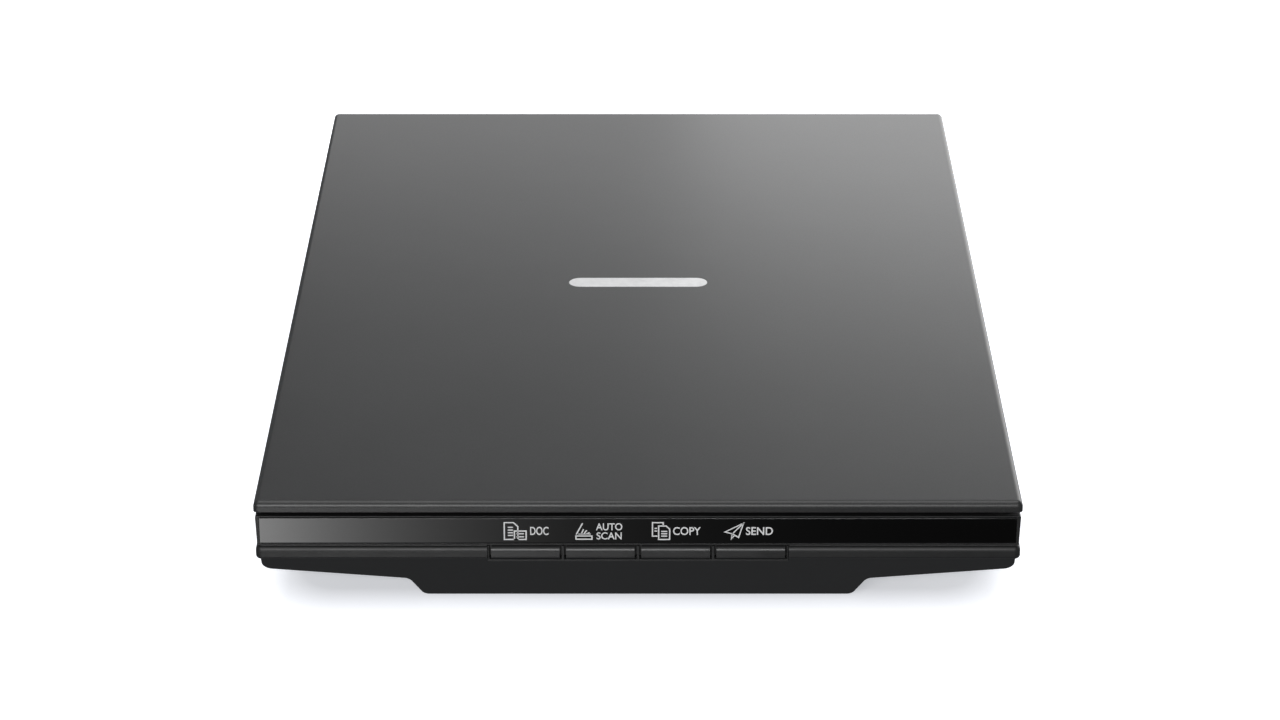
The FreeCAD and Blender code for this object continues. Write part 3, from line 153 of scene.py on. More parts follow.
SOCKETS = {
    "colour": "Base Color",
    "metal": "Metallic",
    "rough": "Roughness",
    "ior": "IOR",
    "shine": "Specular IOR Level",
    "coat": "Coat Weight",
    "coat_rough": "Coat Roughness",
    "sheen": "Sheen Weight",
    "sheen_rough": "Sheen Roughness",
    "clear": "Transmission Weight",
    "soft": "Subsurface Weight",
    "normal": "Normal",
}


def grey(level, warm=0.0):
    """A grey, a little red for warm above 0 and a little blue below it."""
    return level * (1 + warm), level, level * (1 - warm)


def moulded(name, dark, light, rough, grain, depth, worn, warm=0.0, **plain):
    """Moulded plastic or rubber: spark-eroded grain, cloudy gloss, faint scuffs and paler worn edges."""
    finish = Finish(name, **plain)
    cloud = finish.noise(9 * MM, 4.0, 0.6)
    fine = finish.noise(grain, 2.0, 0.6)
    mixed = finish.span(finish.sum(cloud, fine), 0.6, 1.4)
    edge = finish.edges(0.35 * MM)
    shade = finish.sum(finish.span(mixed, 0, 1, 0, 0.55), finish.span(edge, 0, 1, 0, 0.45))
    stops = ((0.0, grey(dark, warm)), (0.55, grey(light, warm)), (1.0, grey(worn)))
    finish.feed("colour", finish.colours(shade, *stops))
    scuff = finish.noise(3 * MM, 5.0, 0.7, (6, 1, 1))
    gloss = finish.sum(finish.span(cloud, 0.3, 0.7, rough - 0.05, rough + 0.05),
                       finish.span(scuff, 0.62, 0.8, 0.0, -0.06))
    finish.feed("rough", gloss)
    finish.feed("normal", finish.lift(fine, depth, finish.rounding(0.25 * MM)))
    return finish.material


def lid_metallic():
    """Dark grey paint full of fine metal flakes, over a faintly uneven moulding."""
    finish = Finish("lid_metallic", metal=0.35, shine=0.5)
    flakes = finish.cells(0.42 * MM)
    speckle = finish.noise(0.3 * MM, 2.0, 0.7)
    cloud = finish.noise(30 * MM, 3.0, 0.5)
    shade = finish.sum(finish.span(speckle, 0.3, 0.7, 0, 0.6), finish.span(flakes, 0.1, 0.7, 0.3, 0.0))
    shade = finish.sum(shade, finish.span(cloud, 0.3, 0.7, 0, 0.1))
    finish.feed("colour", finish.colours(shade, (0.0, grey(0.021)), (0.5, grey(0.032)), (1.0, grey(0.055))))
    edge = finish.edges(0.5 * MM)
    rough = finish.sum(finish.span(speckle, 0.25, 0.75, 0.34, 0.41), finish.span(edge, 0, 1, 0, -0.05))
    finish.feed("rough", rough)
    grain = finish.lift(speckle, 0.006 * MM, finish.rounding(0.5 * MM))
    finish.feed("normal", finish.lift(finish.noise(14 * MM, 2.0), 0.01 * MM, grain))
    return finish.material


def strip_gloss():
    """Polished black plastic with faint wiping marks and a little dust."""
    finish = Finish("strip_gloss", shine=0.5, coat=0.25, coat_rough=0.03)
    wipe = finish.noise(6 * MM, 5.0, 0.65, (5, 1, 1))
    dust = finish.cells(1.3 * MM)
    dusty = finish.span(dust, 0.05, 0.02)
    finish.feed("colour", finish.colours(dusty, (0.0, grey(0.0035)), (1.0, grey(0.02))))
    smooth, matt = finish.span(wipe, 0.4, 0.75, 0.04, 0.1), finish.span(dusty, 0, 1, 0, 0.3)
    finish.feed("rough", finish.sum(smooth, matt))
    finish.feed("normal", finish.lift(finish.noise(18 * MM, 1.0), 0.004 * MM, finish.rounding(0.15 * MM)))
    return finish.material


def metal(name, dark, light, rough, grain, stretch, warm=0.0, whole=1.0, stain=None):
    """Bare or silvered metal: fine tool marks drawn out along one axis, cloudy tarnish and brighter edges."""
    finish = Finish(name, metal=whole)
    marks = finish.noise(grain, 3.0, 0.7, stretch)
    cloud = finish.noise(4 * MM, 4.0, 0.6)
    shade = finish.span(finish.sum(marks, cloud), 0.6, 1.4)
    last = stain or grey(light, warm)
    stops = ((0.0, grey(dark, warm)), (0.7, grey(light, warm)), (1.0, last))
    finish.feed("colour", finish.colours(shade, *stops))
    edge = finish.edges(0.2 * MM)
    finish.feed("rough", finish.sum(finish.span(shade, 0, 1, rough - 0.08, rough + 0.1),
                                    finish.span(edge, 0, 1, 0, -0.08)))
    finish.feed("normal", finish.lift(marks, 0.004 * MM, finish.rounding(0.15 * MM)))
    return finish.material


def galvanised():
    """Zinc-plated sheet: flat crystals, each with its own shade and gloss."""
    finish = Finish("motor_steel", metal=1.0)
    crystals = finish.add("TexVoronoi", {"Vector": finish.place, "Scale": 1 / (2.6 * MM)}).outputs["Color"]
    each = finish.add("SeparateColor", {"Color": crystals}).outputs["Red"]
    finish.feed("colour", finish.colours(each, (0.0, (0.42, 0.42, 0.4)), (1.0, (0.63, 0.64, 0.63))))
    finish.feed("rough", finish.span(each, 0, 1, 0.28, 0.45))
    finish.feed("normal", finish.lift(finish.noise(0.3 * MM), 0.004 * MM, finish.rounding(0.2 * MM)))
    return finish.material


def clear_pane(name, tint, haze, mirror):
    """Clear glass that doesn't bend what is seen through it, with smears that show where it mirrors."""
    finish = Finish(name, metal=1.0, colour=(*tint, 1.0))
    smear = finish.noise(22 * MM, 5.0, 0.65, (1, 3, 1))
    finish.feed("rough", finish.span(smear, 0.35, 0.75, 0.02, 0.14))
    finish.feed("normal", finish.lift(finish.noise(60 * MM, 1.0), 0.02 * MM))
    through = finish.add("BsdfTransparent", {"Color": (*tint, 1.0)})
    slant = finish.add("LayerWeight", {"Blend": 0.5}).outputs["Facing"]
    grazing = finish.sum(slant, 5.0, "POWER")
    share = finish.sum(finish.span(grazing, 0, 1, mirror, 1.0), finish.span(smear, 0.5, 0.8, 0, haze))
    mix = finish.add("MixShader", {0: share, 1: through.outputs[0], 2: finish.shader.outputs[0]})
    finish.tree.links.new(mix.outputs[0], finish.output.inputs["Surface"])
    return finish.material


def white_film():
    """Matt white diffusing film: faint fibres, soft cloudy tone and a slight orange peel."""
    finish = Finish("sheet_white", shine=0.35, sheen=0.15, sheen_rough=0.5)
    cloud = finish.noise(25 * MM, 4.0, 0.6)
    fibre = finish.noise(0.5 * MM, 3.0, 0.6, (4, 1, 1))
    tone = finish.span(finish.sum(cloud, fibre), 0.6, 1.4)
    finish.feed("colour", finish.colours(tone, (0.0, (0.81, 0.81, 0.79)), (1.0, (0.87, 0.87, 0.855))))
    finish.feed("rough", finish.span(cloud, 0.3, 0.7, 0.5, 0.66))
    finish.feed("normal", finish.lift(finish.noise(1.2 * MM, 2.0), 0.02 * MM))
    return finish.material


def foam():
    """Open-cell foam: rounded pores in two sizes, their bottoms darkened by painted shade."""
    finish = Finish("foam_grey", shine=0.2, sheen=0.5, sheen_rough=0.6)
    large, small = (finish.span(finish.cells(across), 0, 0.6) for across in (0.9 * MM, 0.45 * MM))
    pores = finish.sum(large, small)
    depth = finish.span(pores, 0.2, 1.6)
    # painted shade: the colour darkens towards the bottoms of the pores
    finish.feed("colour", finish.colours(depth, (0.0, (0.36, 0.36, 0.37)), (1.0, (0.14, 0.14, 0.145))))
    finish.feed("rough", finish.span(depth, 0, 1, 0.8, 0.97))
    finish.feed("normal", finish.lift(finish.span(depth, 0, 1, 1, 0), 0.25 * MM))
    return finish.material


def circuit_board():
    """Green solder mask over copper tracks, with tinned pads."""
    finish = Finish("circuit_board", coat=0.4, coat_rough=0.15)
    wide, fine = finish.noise(9 * MM, 0.0), finish.noise(3.2 * MM, 0.0)

    def tracks(field, count):
        wave = finish.add("Math", {0: finish.sum(field, count, "MULTIPLY")}, operation="FRACT")
        line = finish.add("Math", {0: wave.outputs["Value"], 1: 0.5, 2: 0.16}, operation="COMPARE")
        return finish.span(line.outputs["Value"], 0, 1)

    copper = finish.sum(tracks(wide, 16.0), tracks(fine, 5.0), "MAXIMUM")
    pads = finish.span(finish.cells(2.1 * MM), 0.17, 0.15)
    shade = finish.sum(finish.span(copper, 0, 1, 0, 0.45), finish.span(pads, 0, 1, 0, 0.55))
    green, track, tin = (0.006, 0.07, 0.03), (0.018, 0.15, 0.065), (0.55, 0.56, 0.54)
    finish.feed("colour", finish.colours(shade, (0.0, green), (0.45, track), (0.56, tin)))
    finish.feed("metal", finish.span(pads, 0, 1, 0, 0.9))
    finish.feed("rough", finish.span(shade, 0, 1, 0.42, 0.28))
    finish.feed("normal", finish.lift(shade, 0.05 * MM))
    return finish.material


def flat_cable():
    """Flat flexible cable: tinned conductors showing through pale film as evenly spaced lines."""
    finish = Finish("ribbon_white", shine=0.5, soft=0.05)
    pitch = 1.0 * MM
    across = finish.sum(finish.axis("X"), 1 / pitch, "MULTIPLY")
    wave = finish.add("Math", {0: across, 1: 1.0}, operation="PINGPONG").outputs["Value"]
    line = finish.span(wave, 0.55, 0.75)
    cloud = finish.noise(5 * MM, 3.0)
    shade = finish.sum(finish.span(line, 0, 1, 0, 0.8), finish.span(cloud, 0.3, 0.7, 0, 0.2))
    finish.feed("colour", finish.colours(shade, (0.0, (0.78, 0.79, 0.8)), (1.0, (0.46, 0.48, 0.52))))
    finish.feed("rough", finish.span(cloud, 0.3, 0.7, 0.25, 0.4))
    finish.feed("normal", finish.lift(line, 0.04 * MM))
    return finish.material


def rod_lenses():
    """A row of tiny glass rods side by side, seen as a fine ladder."""
    finish = Finish("lens_dark", shine=0.8, coat=0.6, coat_rough=0.05)
    across = finish.sum(finish.axis("X"), 1 / (0.6 * MM), "MULTIPLY")
    wave = finish.add("Math", {0: across, 1: 1.0}, operation="PINGPONG").outputs["Value"]
    stops = ((0.0, (0.012, 0.02, 0.02)), (0.8, (0.1, 0.14, 0.14)), (1.0, (0.2, 0.25, 0.25)))
    finish.feed("colour", finish.colours(wave, *stops))
    finish.feed("rough", finish.span(wave, 0, 1, 0.3, 0.1))
    finish.feed("normal", finish.lift(wave, 0.15 * MM))
    return finish.material


def light_guide():
    """Clear acrylic bar, frosted along its row of scattering dots."""
    finish = Finish("light_guide", clear=0.6, ior=1.49)
    dots = finish.span(finish.cells(0.8 * MM), 0.35, 0.2)
    finish.feed("colour", finish.colours(dots, (0.0, (0.8, 0.84, 0.8)), (1.0, (0.95, 0.96, 0.94))))
    finish.feed("rough", finish.span(dots, 0, 1, 0.08, 0.5))
    finish.feed("normal", finish.lift(dots, 0.03 * MM))
    return finish.material


def printed_ink():
    """Pale grey pad-printed ink: slightly uneven cover with soft, dusty gloss."""
    finish = Finish("label_ink", shine=0.4)
    cover = finish.noise(0.25 * MM, 3.0, 0.6)
    finish.feed("colour", finish.colours(finish.span(cover, 0.25, 0.7), (0.0, grey(0.62)), (1.0, grey(0.86))))
    finish.feed("rough", finish.span(cover, 0.3, 0.7, 0.45, 0.6))
    finish.feed("normal", finish.lift(cover, 0.006 * MM))
    return finish.material


FINISHES = {
    "lid_metallic": lid_metallic(),
    "badge_silver": metal("badge_silver", 0.6, 0.8, 0.34, 0.12 * MM, (30, 1, 1), whole=0.35),
    "case_black": moulded("case_black", 0.006, 0.011, 0.47, 0.3 * MM, 0.02 * MM, 0.05),
    "inner_black": moulded("inner_black", 0.008, 0.014, 0.5, 0.5 * MM, 0.012 * MM, 0.05),
    "strip_gloss": strip_gloss(),
    "button_grey": moulded("button_grey", 0.016, 0.024, 0.34, 0.22 * MM, 0.01 * MM, 0.09),
    "rubber_black": moulded("rubber_black", 0.012, 0.022, 0.75, 0.2 * MM, 0.03 * MM, 0.05, sheen=0.3),
    "platen_clear": clear_pane("platen_clear", (0.86, 0.94, 0.9), 0.05, 0.03),
    "tape_black": moulded("tape_black", 0.01, 0.018, 0.55, 0.15 * MM, 0.02 * MM, 0.03),
    "sheet_white": white_film(),
    "foam_grey": foam(),
    "steel_bright": metal("steel_bright", 0.5, 0.72, 0.22, 0.1 * MM, (1, 25, 1)),
    "steel_dark": metal("steel_dark", 0.07, 0.13, 0.38, 0.15 * MM, (1, 1, 1), stain=(0.2, 0.18, 0.16)),
    "motor_steel": galvanised(),
    "bush_bronze": metal("bush_bronze", 0.34, 0.52, 0.32, 0.15 * MM, (1, 1, 8), warm=0.32),
    "acetal_white": moulded(
        "acetal_white", 0.66, 0.76, 0.42, 0.4 * MM, 0.008 * MM, 0.86, warm=0.035, soft=0.1
    ),
    "belt_rubber": moulded("belt_rubber", 0.014, 0.026, 0.6, 0.25 * MM, 0.03 * MM, 0.05),
    "circuit_board": circuit_board(),
    "chip_black": moulded("chip_black", 0.012, 0.022, 0.5, 0.12 * MM, 0.01 * MM, 0.06),
    "ribbon_white": flat_cable(),
    "sensor_glass": clear_pane("sensor_glass", (0.8, 0.88, 0.86), 0.1, 0.05),
    "lens_dark": rod_lenses(),
    "light_guide": light_guide(),
    "label_ink": printed_ink(),
}


# ---------------------------------------------------------------- making pieces


def piece(name, mesh, body, slot, replaces=(), finish=None, smooth=True):
    """A new piece that rides on a body, takes its finish from a slot and may stand for CAD nodes."""
    obj = bpy.data.objects.new(name, mesh)
    bpy.context.scene.collection.objects.link(obj)
    mesh.materials.clear()
    mesh.materials.append(FINISHES[finish or slot])
    for polygon in mesh.polygons:
        polygon.use_smooth = smooth
    if body:
        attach(obj, body)
    if replaces:
        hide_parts(*replaces)
    return obj


def mesh_of(name, points, faces):
    """A mesh with its faces turned outwards."""
    mesh = bpy.data.meshes.new(name)
    mesh.from_pydata([tuple(p) for p in points], [], faces)
    work = bmesh.new()
    work.from_mesh(mesh)
    bmesh.ops.remove_doubles(work, verts=work.verts, dist=1e-7)
    bmesh.ops.recalc_face_normals(work, faces=work.faces)
    work.to_mesh(mesh)
    work.free()
    return mesh


def skin(name, rings, closed=True, capped=True):
    """A mesh over rings of equally many points: closed rings, with a face over each end ring if capped."""
    count = len(rings[0])
    points = [p for ring in rings for p in ring]
    faces = []
    for row in range(len(rings) - 1):
        for k in range(count if closed else count - 1):
            a, b = row * count + k, row * count + (k + 1) % count
            faces.append((a, b, b + count, a + count))
    if capped:
        faces.append(tuple(range(count)))
        faces.append(tuple(range(len(points) - count, len(points))))
    return mesh_of(name, points, faces)


def turned(name, centre, profile, count=48):
    """A turned solid about the vertical through centre. The profile's points are (radius, level)."""
    angles = [2 * math.pi * k / count for k in range(count)]
    rings = []
    for radius, level in profile:
        ring = [(radius * math.cos(a), radius * math.sin(a)) for a in angles]
        rings.append([(centre[0] + x, centre[1] + y, level) for x, y in ring])
    return skin(name, rings)


def joined(name, meshes):
    """Several meshes as one."""
    points, faces = [], []
    for mesh in meshes:
        start = len(points)
        points += [v.co.copy() for v in mesh.vertices]
        faces += [tuple(start + i for i in p.vertices) for p in mesh.polygons]
        bpy.data.meshes.remove(mesh)
    return mesh_of(name, points, faces)


def bevelled(mesh, width, segments=2):
    """The mesh with its sharp edges rounded off."""
    work = bmesh.new()
    work.from_mesh(mesh)
    sharp = [e for e in work.edges if e.is_manifold and e.calc_face_angle(0) > math.radians(30)]
    bmesh.ops.bevel(work, geom=sharp, offset=width, segments=segments, affect="EDGES", profile=0.6)
    work.to_mesh(mesh)
    work.free()
    return mesh


def brick(name, low, high):
    """A box between two corners."""
    rings = []
    for z in (low[2], high[2]):
        rings.append([(low[0], low[1], z), (high[0], low[1], z), (high[0], high[1], z), (low[0], high[1], z)])
    return skin(name, rings)


def middle(node):
    low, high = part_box(node)
    return (low + high) / 2


# ---------------------------------------------------------------- lid pad


def pad_outline(low, high, corner, pulled):
    """Points round a rectangle with rounded corners, whose sides pull in a little halfway along."""
    points = []
    steps, side = 6, 16
    corners = [(high.x, low.y, -90), (high.x, high.y, 0), (low.x, high.y, 90), (low.x, low.y, 180)]
    for n, (x, y, start) in enumerate(corners):
        inward = Vector((-math.copysign(corner, x), corner if y == low.y else -corner))
        hub = Vector((x, y)) + inward
        for k in range(steps + 1):
            angle = math.radians(start + 90 * k / steps)
            points.append(hub + corner * Vector((math.cos(angle), math.sin(angle))))
        last = points[-1]
        after = corners[(n + 1) % 4]
        inward = Vector((-math.copysign(corner, after[0]), corner if after[1] == low.y else -corner))
        angle = math.radians(after[2])
        following = Vector(after[:2]) + inward + corner * Vector((math.cos(angle), math.sin(angle)))
        along = following - last
        across = Vector((-along.y, along.x)).normalized()
        for k in range(1, side):
            share = k / side
            points.append(last + along * share + across * pulled * math.sin(math.pi * share))
    return points


def pad_level(point, centre, half, edge, crown):
    """The height of the pad's face at a place: lowest in the middle, with slow waves from its gluing."""
    x, y = (point.x - centre.x) / half.x, (point.y - centre.y) / half.y
    waves = 0.05 * MM * math.sin(7 * x + 1.3) * math.sin(9 * y + 0.4)
    return edge - crown * (1 - x ** 4) * (1 - y ** 4) + waves


def inner_rings(outline, centre, level, shares):
    """Rings that shrink towards the centre, each point at its own level."""
    rings = []
    for share in shares:
        ring = [centre + (p - centre) * share for p in outline]
        rings.append([(p.x, p.y, level(p)) for p in ring])
    return rings


def lid_pad():
    """The foam pad and the white film glued over it, which press the page on the glass."""
    film_low, film_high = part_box("lid_white_sheet")
    foam_low, foam_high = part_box("lid_sponge")
    centre = ((film_low + film_high) / 2).to_2d()
    half = ((film_high - film_low) / 2).to_2d()
    outline = pad_outline(film_low, film_high, 2.5 * MM, 0.5 * MM)
    shares = [1 - 0.012 * k for k in range(4)] + [0.92 - 0.1 * k for k in range(9)] + [0.06]

    def face(point):
        return pad_level(point, centre, half, film_high.z - 0.1 * MM, 0.22 * MM)

    def inset(amount):
        return [p - (p - centre).normalized() * amount for p in outline]

    # foam: a flat glued back, sides that bulge a little, a rounded rim and a crowned face
    sides = [(0.5, 0.0), (0.1, -0.5), (0.0, -1.4), (0.05, -2.4), (0.35, -3.3), (0.9, -3.75)]
    rings = [[(p.x, p.y, foam_high.z) for p in inset(2.2 * MM)]]
    for inward, drop in sides:
        rings.append([(p.x, p.y, foam_high.z + drop * MM) for p in inset((0.1 + inward) * MM)])
    rings += inner_rings(inset(1.8 * MM), centre, face, shares)
    pad = piece("lid_pad_foam", skin("lid_pad_foam", rings), "lid", "foam_grey", ["lid_sponge"])

    # film: a thin skin that follows the foam's face and turns up slightly at its rim
    thick = 0.22 * MM
    upper = inner_rings(inset(1.2 * MM), centre, lambda p: face(p) - 0.01 * MM, shares)
    rim = [[(p.x, p.y, face(p) + 0.16 * MM) for p in inset(0.15 * MM)]]
    rim += [[(p.x, p.y, face(p) + 0.02 * MM) for p in inset(0.0)]]
    lower = inner_rings(inset(1.2 * MM), centre, lambda p: face(p) - 0.01 * MM - thick, shares)
    shell = upper[::-1] + rim + lower
    film = piece("lid_pad_film", skin("lid_pad_film", shell), "lid", "sheet_white", ["lid_white_sheet"])


def lid_bumpers():
    """Domed rubber buffers pressed into the lid's liner."""
    low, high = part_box("lid_bumpers")
    radius = 3 * MM
    domes = []
    for x in (low.x + radius, high.x - radius):
        for y in (low.y + radius, high.y - radius):
            profile = [(0.2 * MM, high.z), (radius, high.z), (radius, low.z + 0.9 * MM)]
            for k in range(1, 8):
                angle = math.pi / 2 * k / 8
                profile.append((radius * math.cos(angle) ** 0.6, low.z + 0.9 * MM * (1 - math.sin(angle))))
            profile.append((0.15 * MM, low.z))
            domes.append(turned("dome", (x, y), profile, 32))
    piece("lid_bumper_domes", joined("lid_bumper_domes", domes), "lid", "rubber_black", ["lid_bumpers"])


# ---------------------------------------------------------------- feet, springs and belt


def feet():
    """Rubber feet with a rounded edge, a raised ring that touches the table and a dished middle."""
    for node in ("foot_front_left", "foot_front_right", "foot_back_left", "foot_back_right"):
        low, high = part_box(node)
        centre, radius = (low + high) / 2, (high.x - low.x) / 2
        dish, ring = 0.45 * MM, 0.12 * MM
        profile = [(0.1 * MM, high.z), (radius, high.z), (radius, low.z + 0.9 * MM)]
        profile += [(radius - 0.12 * MM, low.z + 0.4 * MM), (radius - 0.45 * MM, low.z + ring)]
        profile += [(radius - 0.9 * MM, low.z), (radius - 1.9 * MM, low.z), (radius - 2.2 * MM, low.z + ring)]
        profile += [(radius - 2.5 * MM, low.z + dish), (radius - 3.4 * MM, low.z + dish)]
        profile += [(radius - 3.7 * MM, low.z + ring), (radius - 4.4 * MM, low.z + ring)]
        profile += [(radius - 4.7 * MM, low.z + dish), (0.1 * MM, low.z + dish)]
        mesh = turned(node + "_pad", centre, profile, 64)
        piece(node + "_pad", mesh, "base", "rubber_black", [node])


def helix(name, centre, radius, wire, low, high, turns):
    """A round-wire compression spring with its end turns closed up."""
    per_turn, around = 24, 10
    count = int(turns * per_turn)
    rings = []
    for k in range(count + 1):
        share = k / count
        lift = 0.5 - 0.5 * math.cos(math.pi * min(1.0, max(0.0, share)))
        level = low + wire + (high - low - 2 * wire) * (0.35 * share + 0.65 * lift)
        angle = 2 * math.pi * turns * share
        out = Vector((math.cos(angle), math.sin(angle), 0))
        spot = Vector((centre.x, centre.y, level)) + out * radius
        ring = []
        for n in range(around):
            tilt = 2 * math.pi * n / around
            ring.append(spot + wire * (out * math.cos(tilt) + Vector((0, 0, 1)) * math.sin(tilt)))
        rings.append(ring)
    return skin(name, rings)


def sensor_springs():
    """The two springs that press the sensor up against the glass."""
    low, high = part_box("sensor_springs")
    radius = (high.y - low.y) / 2
    wire = 0.28 * MM
    coils = []
    for x in (low.x + radius, high.x - radius):
        centre = Vector((x, (low.y + high.y) / 2, 0))
        coils.append(helix("coil", centre, radius - wire, wire, low.z, high.z, 4.5))
    mesh = joined("sensor_spring_coils", coils)
    spring = piece("sensor_spring_coils", mesh, "carriage", "steel_bright", ["sensor_springs"])
    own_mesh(spring)


def belt():
    """The toothed drive belt, with moulded teeth inside along both straight runs."""
    low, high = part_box("drive_belt")
    gear, idler = middle("drive_gear").to_2d(), middle("idler_pulley").to_2d()
    outer = (high.y - gear.y, idler.y - low.y)
    thick, tooth, pitch = 0.8 * MM, 0.45 * MM, 2.0 * MM
    along = idler - gear
    lean = math.acos((outer[0] - outer[1]) / along.length)
    heading = math.atan2(along.y, along.x)

    def unit(angle):
        return Vector((math.cos(angle), math.sin(angle)))

    path = []
    run = along.length
    teeth = int(run / pitch) - 4
    for turn, order in ((heading - lean, 1), (heading + lean, -1)):
        out = unit(turn)
        start, end = (gear + out * outer[0], idler + out * outer[1])[::order]
        step = (end - start).normalized()
        path.append((start, out, 0))
        for k in range(teeth):
            at = start + step * pitch * (k + 2)
            for share, rise in ((0.0, 0), (0.18, 1), (0.45, 1), (0.63, 0)):
                path.append((at + step * pitch * share, out, rise))
        path.append((end, out, 0))
        hub, radius = (idler, outer[1]) if order == 1 else (gear, outer[0])
        swing = 2 * lean if order == 1 else 2 * (math.pi - lean)
        for k in range(1, 20):
            angle = turn + swing * k / 20
            path.append((hub + unit(angle) * radius, unit(angle), 0))
    rings = []
    for spot, out, rise in path:
        inside = spot - out * (thick + tooth * rise)
        rings.append([(*spot, low.z), (*spot, high.z), (*inside, high.z), (*inside, low.z)])
    mesh = skin("drive_belt_toothed", rings + [rings[0]], capped=False)
    piece("drive_belt_toothed", mesh, "base", "belt_rubber", ["drive_belt"], smooth=False)


# ---------------------------------------------------------------- cables and boards


def cable_route(points, thick, left, right, name, rounds=3):
    """A flat cable through (y, z) points, its corners rounded by cutting them again and again."""
    line = [Vector(p) * MM for p in points]
    for _ in range(rounds):
        cut = [line[0]]
        for a, b in zip(line, line[1:]):
            cut += [a.lerp(b, 0.25), a.lerp(b, 0.75)]
        line = cut + [line[-1]]
    rings = []
    for k, point in enumerate(line):
        ahead = (line[min(k + 1, len(line) - 1)] - line[max(k - 1, 0)]).normalized()
        side = Vector((-ahead.y, ahead.x)) * thick / 2
        near, far = point + side, point - side
        rings.append([(left, *near), (right, *near), (right, *far), (left, *far)])
    return skin(name, rings)


def sensor_ribbon():
    """The sensor's flat cable. Its lower run lies on the floor, and its upper run slopes up towards the back.
    """
    low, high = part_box("sensor_ribbon")
    thick = 0.25 * MM
    floor, top = low.z / MM + 0.15, high.z / MM - 0.15
    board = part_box("main_board")[1].z / MM + 1.1
    back, front = high.y / MM, low.y / MM + 1
    fold = 1.8
    rise = (top - floor - fold) / (back - front)
    points = [(103.5, board), (99.5, board), (97.0, board - 1.2), (94.5, floor + 1), (91, floor)]
    points += [(y, floor) for y in range(80, -1, -8)]
    points += [(front, floor), (front - 1, floor + fold / 2), (front, floor + fold)]

    def upper(y):
        return y, floor + fold + rise * (y - front)

    points += [upper(y) for y in range(6, 135, 4)]
    mesh = cable_route(points, thick, low.x, high.x, "sensor_ribbon_flex", rounds=2)
    ribbon = piece("sensor_ribbon_flex", mesh, None, "ribbon_white", ["sensor_ribbon"], smooth=False)
    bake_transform(ribbon)

    # the last stretch, over the carriage, bends into the plug
    tail = [upper(y) for y in range(134, 143, 2)] + [(back, top)]
    mesh = cable_route(tail, thick, low.x, high.x, "sensor_ribbon_tail", rounds=2)
    ribbon = piece("sensor_ribbon_tail", mesh, None, "ribbon_white", ["sensor_ribbon"], smooth=False)
    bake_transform(ribbon)


# the board's chips with legs, and what else on it has to stay clear: corners in millimetres
CHIPS = [((-49, 122), (-35, 136)), ((-48, 142), (-37, 160)), ((-32, 146), (-26, 154))]
OCCUPIED = [
    ((-64, 100), (-52, 112)),
    ((-53.5, 100), (-30, 107.5)),
    ((-63, 112), (-50.5, 137)),
    ((-61, 141), (-53, 149)),
    ((-30, 123), (-20, 144)),
    ((-44, 164), (-20, 176)),
    ((-66, 163), (-44, 176)),
    ((-30.5, 155), (-21, 165)),
]


def solder_points():
    """Chip legs, small resistors and capacitors on the main board."""
    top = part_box("main_board")[1].z
    pitch, half_wide, thick = 0.8, 0.15, 0.25
    legs = []
    for (x0, y0), (x1, y1) in CHIPS:
        for k in range(int((y1 - y0 - 1) / pitch)):
            y = y0 + pitch * (k + 1)
            for x, out in ((x0, -1), (x1, 1)):
                low = (min(x, x + out) * MM, (y - half_wide) * MM, top)
                high = (max(x, x + out) * MM, (y + half_wide) * MM, top + thick * MM)
                legs.append(brick("leg", low, high))
    piece("main_board_chip_legs", joined("main_board_chip_legs", legs), "base", "steel_bright", smooth=False)
    dice = random.Random(7)
    small = []
    taken = OCCUPIED + [((x0 - 1.6, y0 - 1), (x1 + 1.6, y1 + 1)) for (x0, y0), (x1, y1) in CHIPS]
    wanted, high_part, apart = 46, 0.45, 0.4
    while len(small) < wanted:
        x, y = dice.uniform(-62, -22), dice.uniform(110, 166)
        if any(x0 - 1 < x < x1 + 1 and y0 - 1 < y < y1 + 1 for (x0, y0), (x1, y1) in taken):
            continue
        long, wide = ((0.8, 0.42), (0.42, 0.8))[dice.random() < 0.5]
        taken.append(((x - long - apart, y - wide - apart), (x + long + apart, y + wide + apart)))
        low = ((x - long) * MM, (y - wide) * MM, top)
        high = ((x + long) * MM, (y + wide) * MM, top + high_part * MM)
        small.append(bevelled(brick("small", low, high), 0.06 * MM, 1))
    mesh = joined("main_board_small_parts", small)
    piece("main_board_small_parts", mesh, "base", "chip_black", smooth=False)


# ---------------------------------------------------------------- printed labels


def stroke(points, width, closed=False):
    """A line of even width through (x, z) points, as an outline of quads with mitred corners."""
    line = [Vector(p) for p in points]
    count = len(line)
    left, right = [], []
    for k, point in enumerate(line):
        before = line[k - 1] if k or closed else None
        after = line[(k + 1) % count] if k < count - 1 or closed else None
        into = (point - before).normalized() if before is not None else (after - point).normalized()
        out = (after - point).normalized() if after is not None else into
        side = Vector((-into.y - out.y, into.x + out.x))
        side = side.normalized()
        reach = width / 2 / max(0.45, side.dot(Vector((-into.y, into.x))))
        left.append(point + side * reach)
        right.append(point - side * reach)
    pairs = range(count if closed else count - 1)
    return [[left[k], left[(k + 1) % count], right[(k + 1) % count], right[k]] for k in pairs]


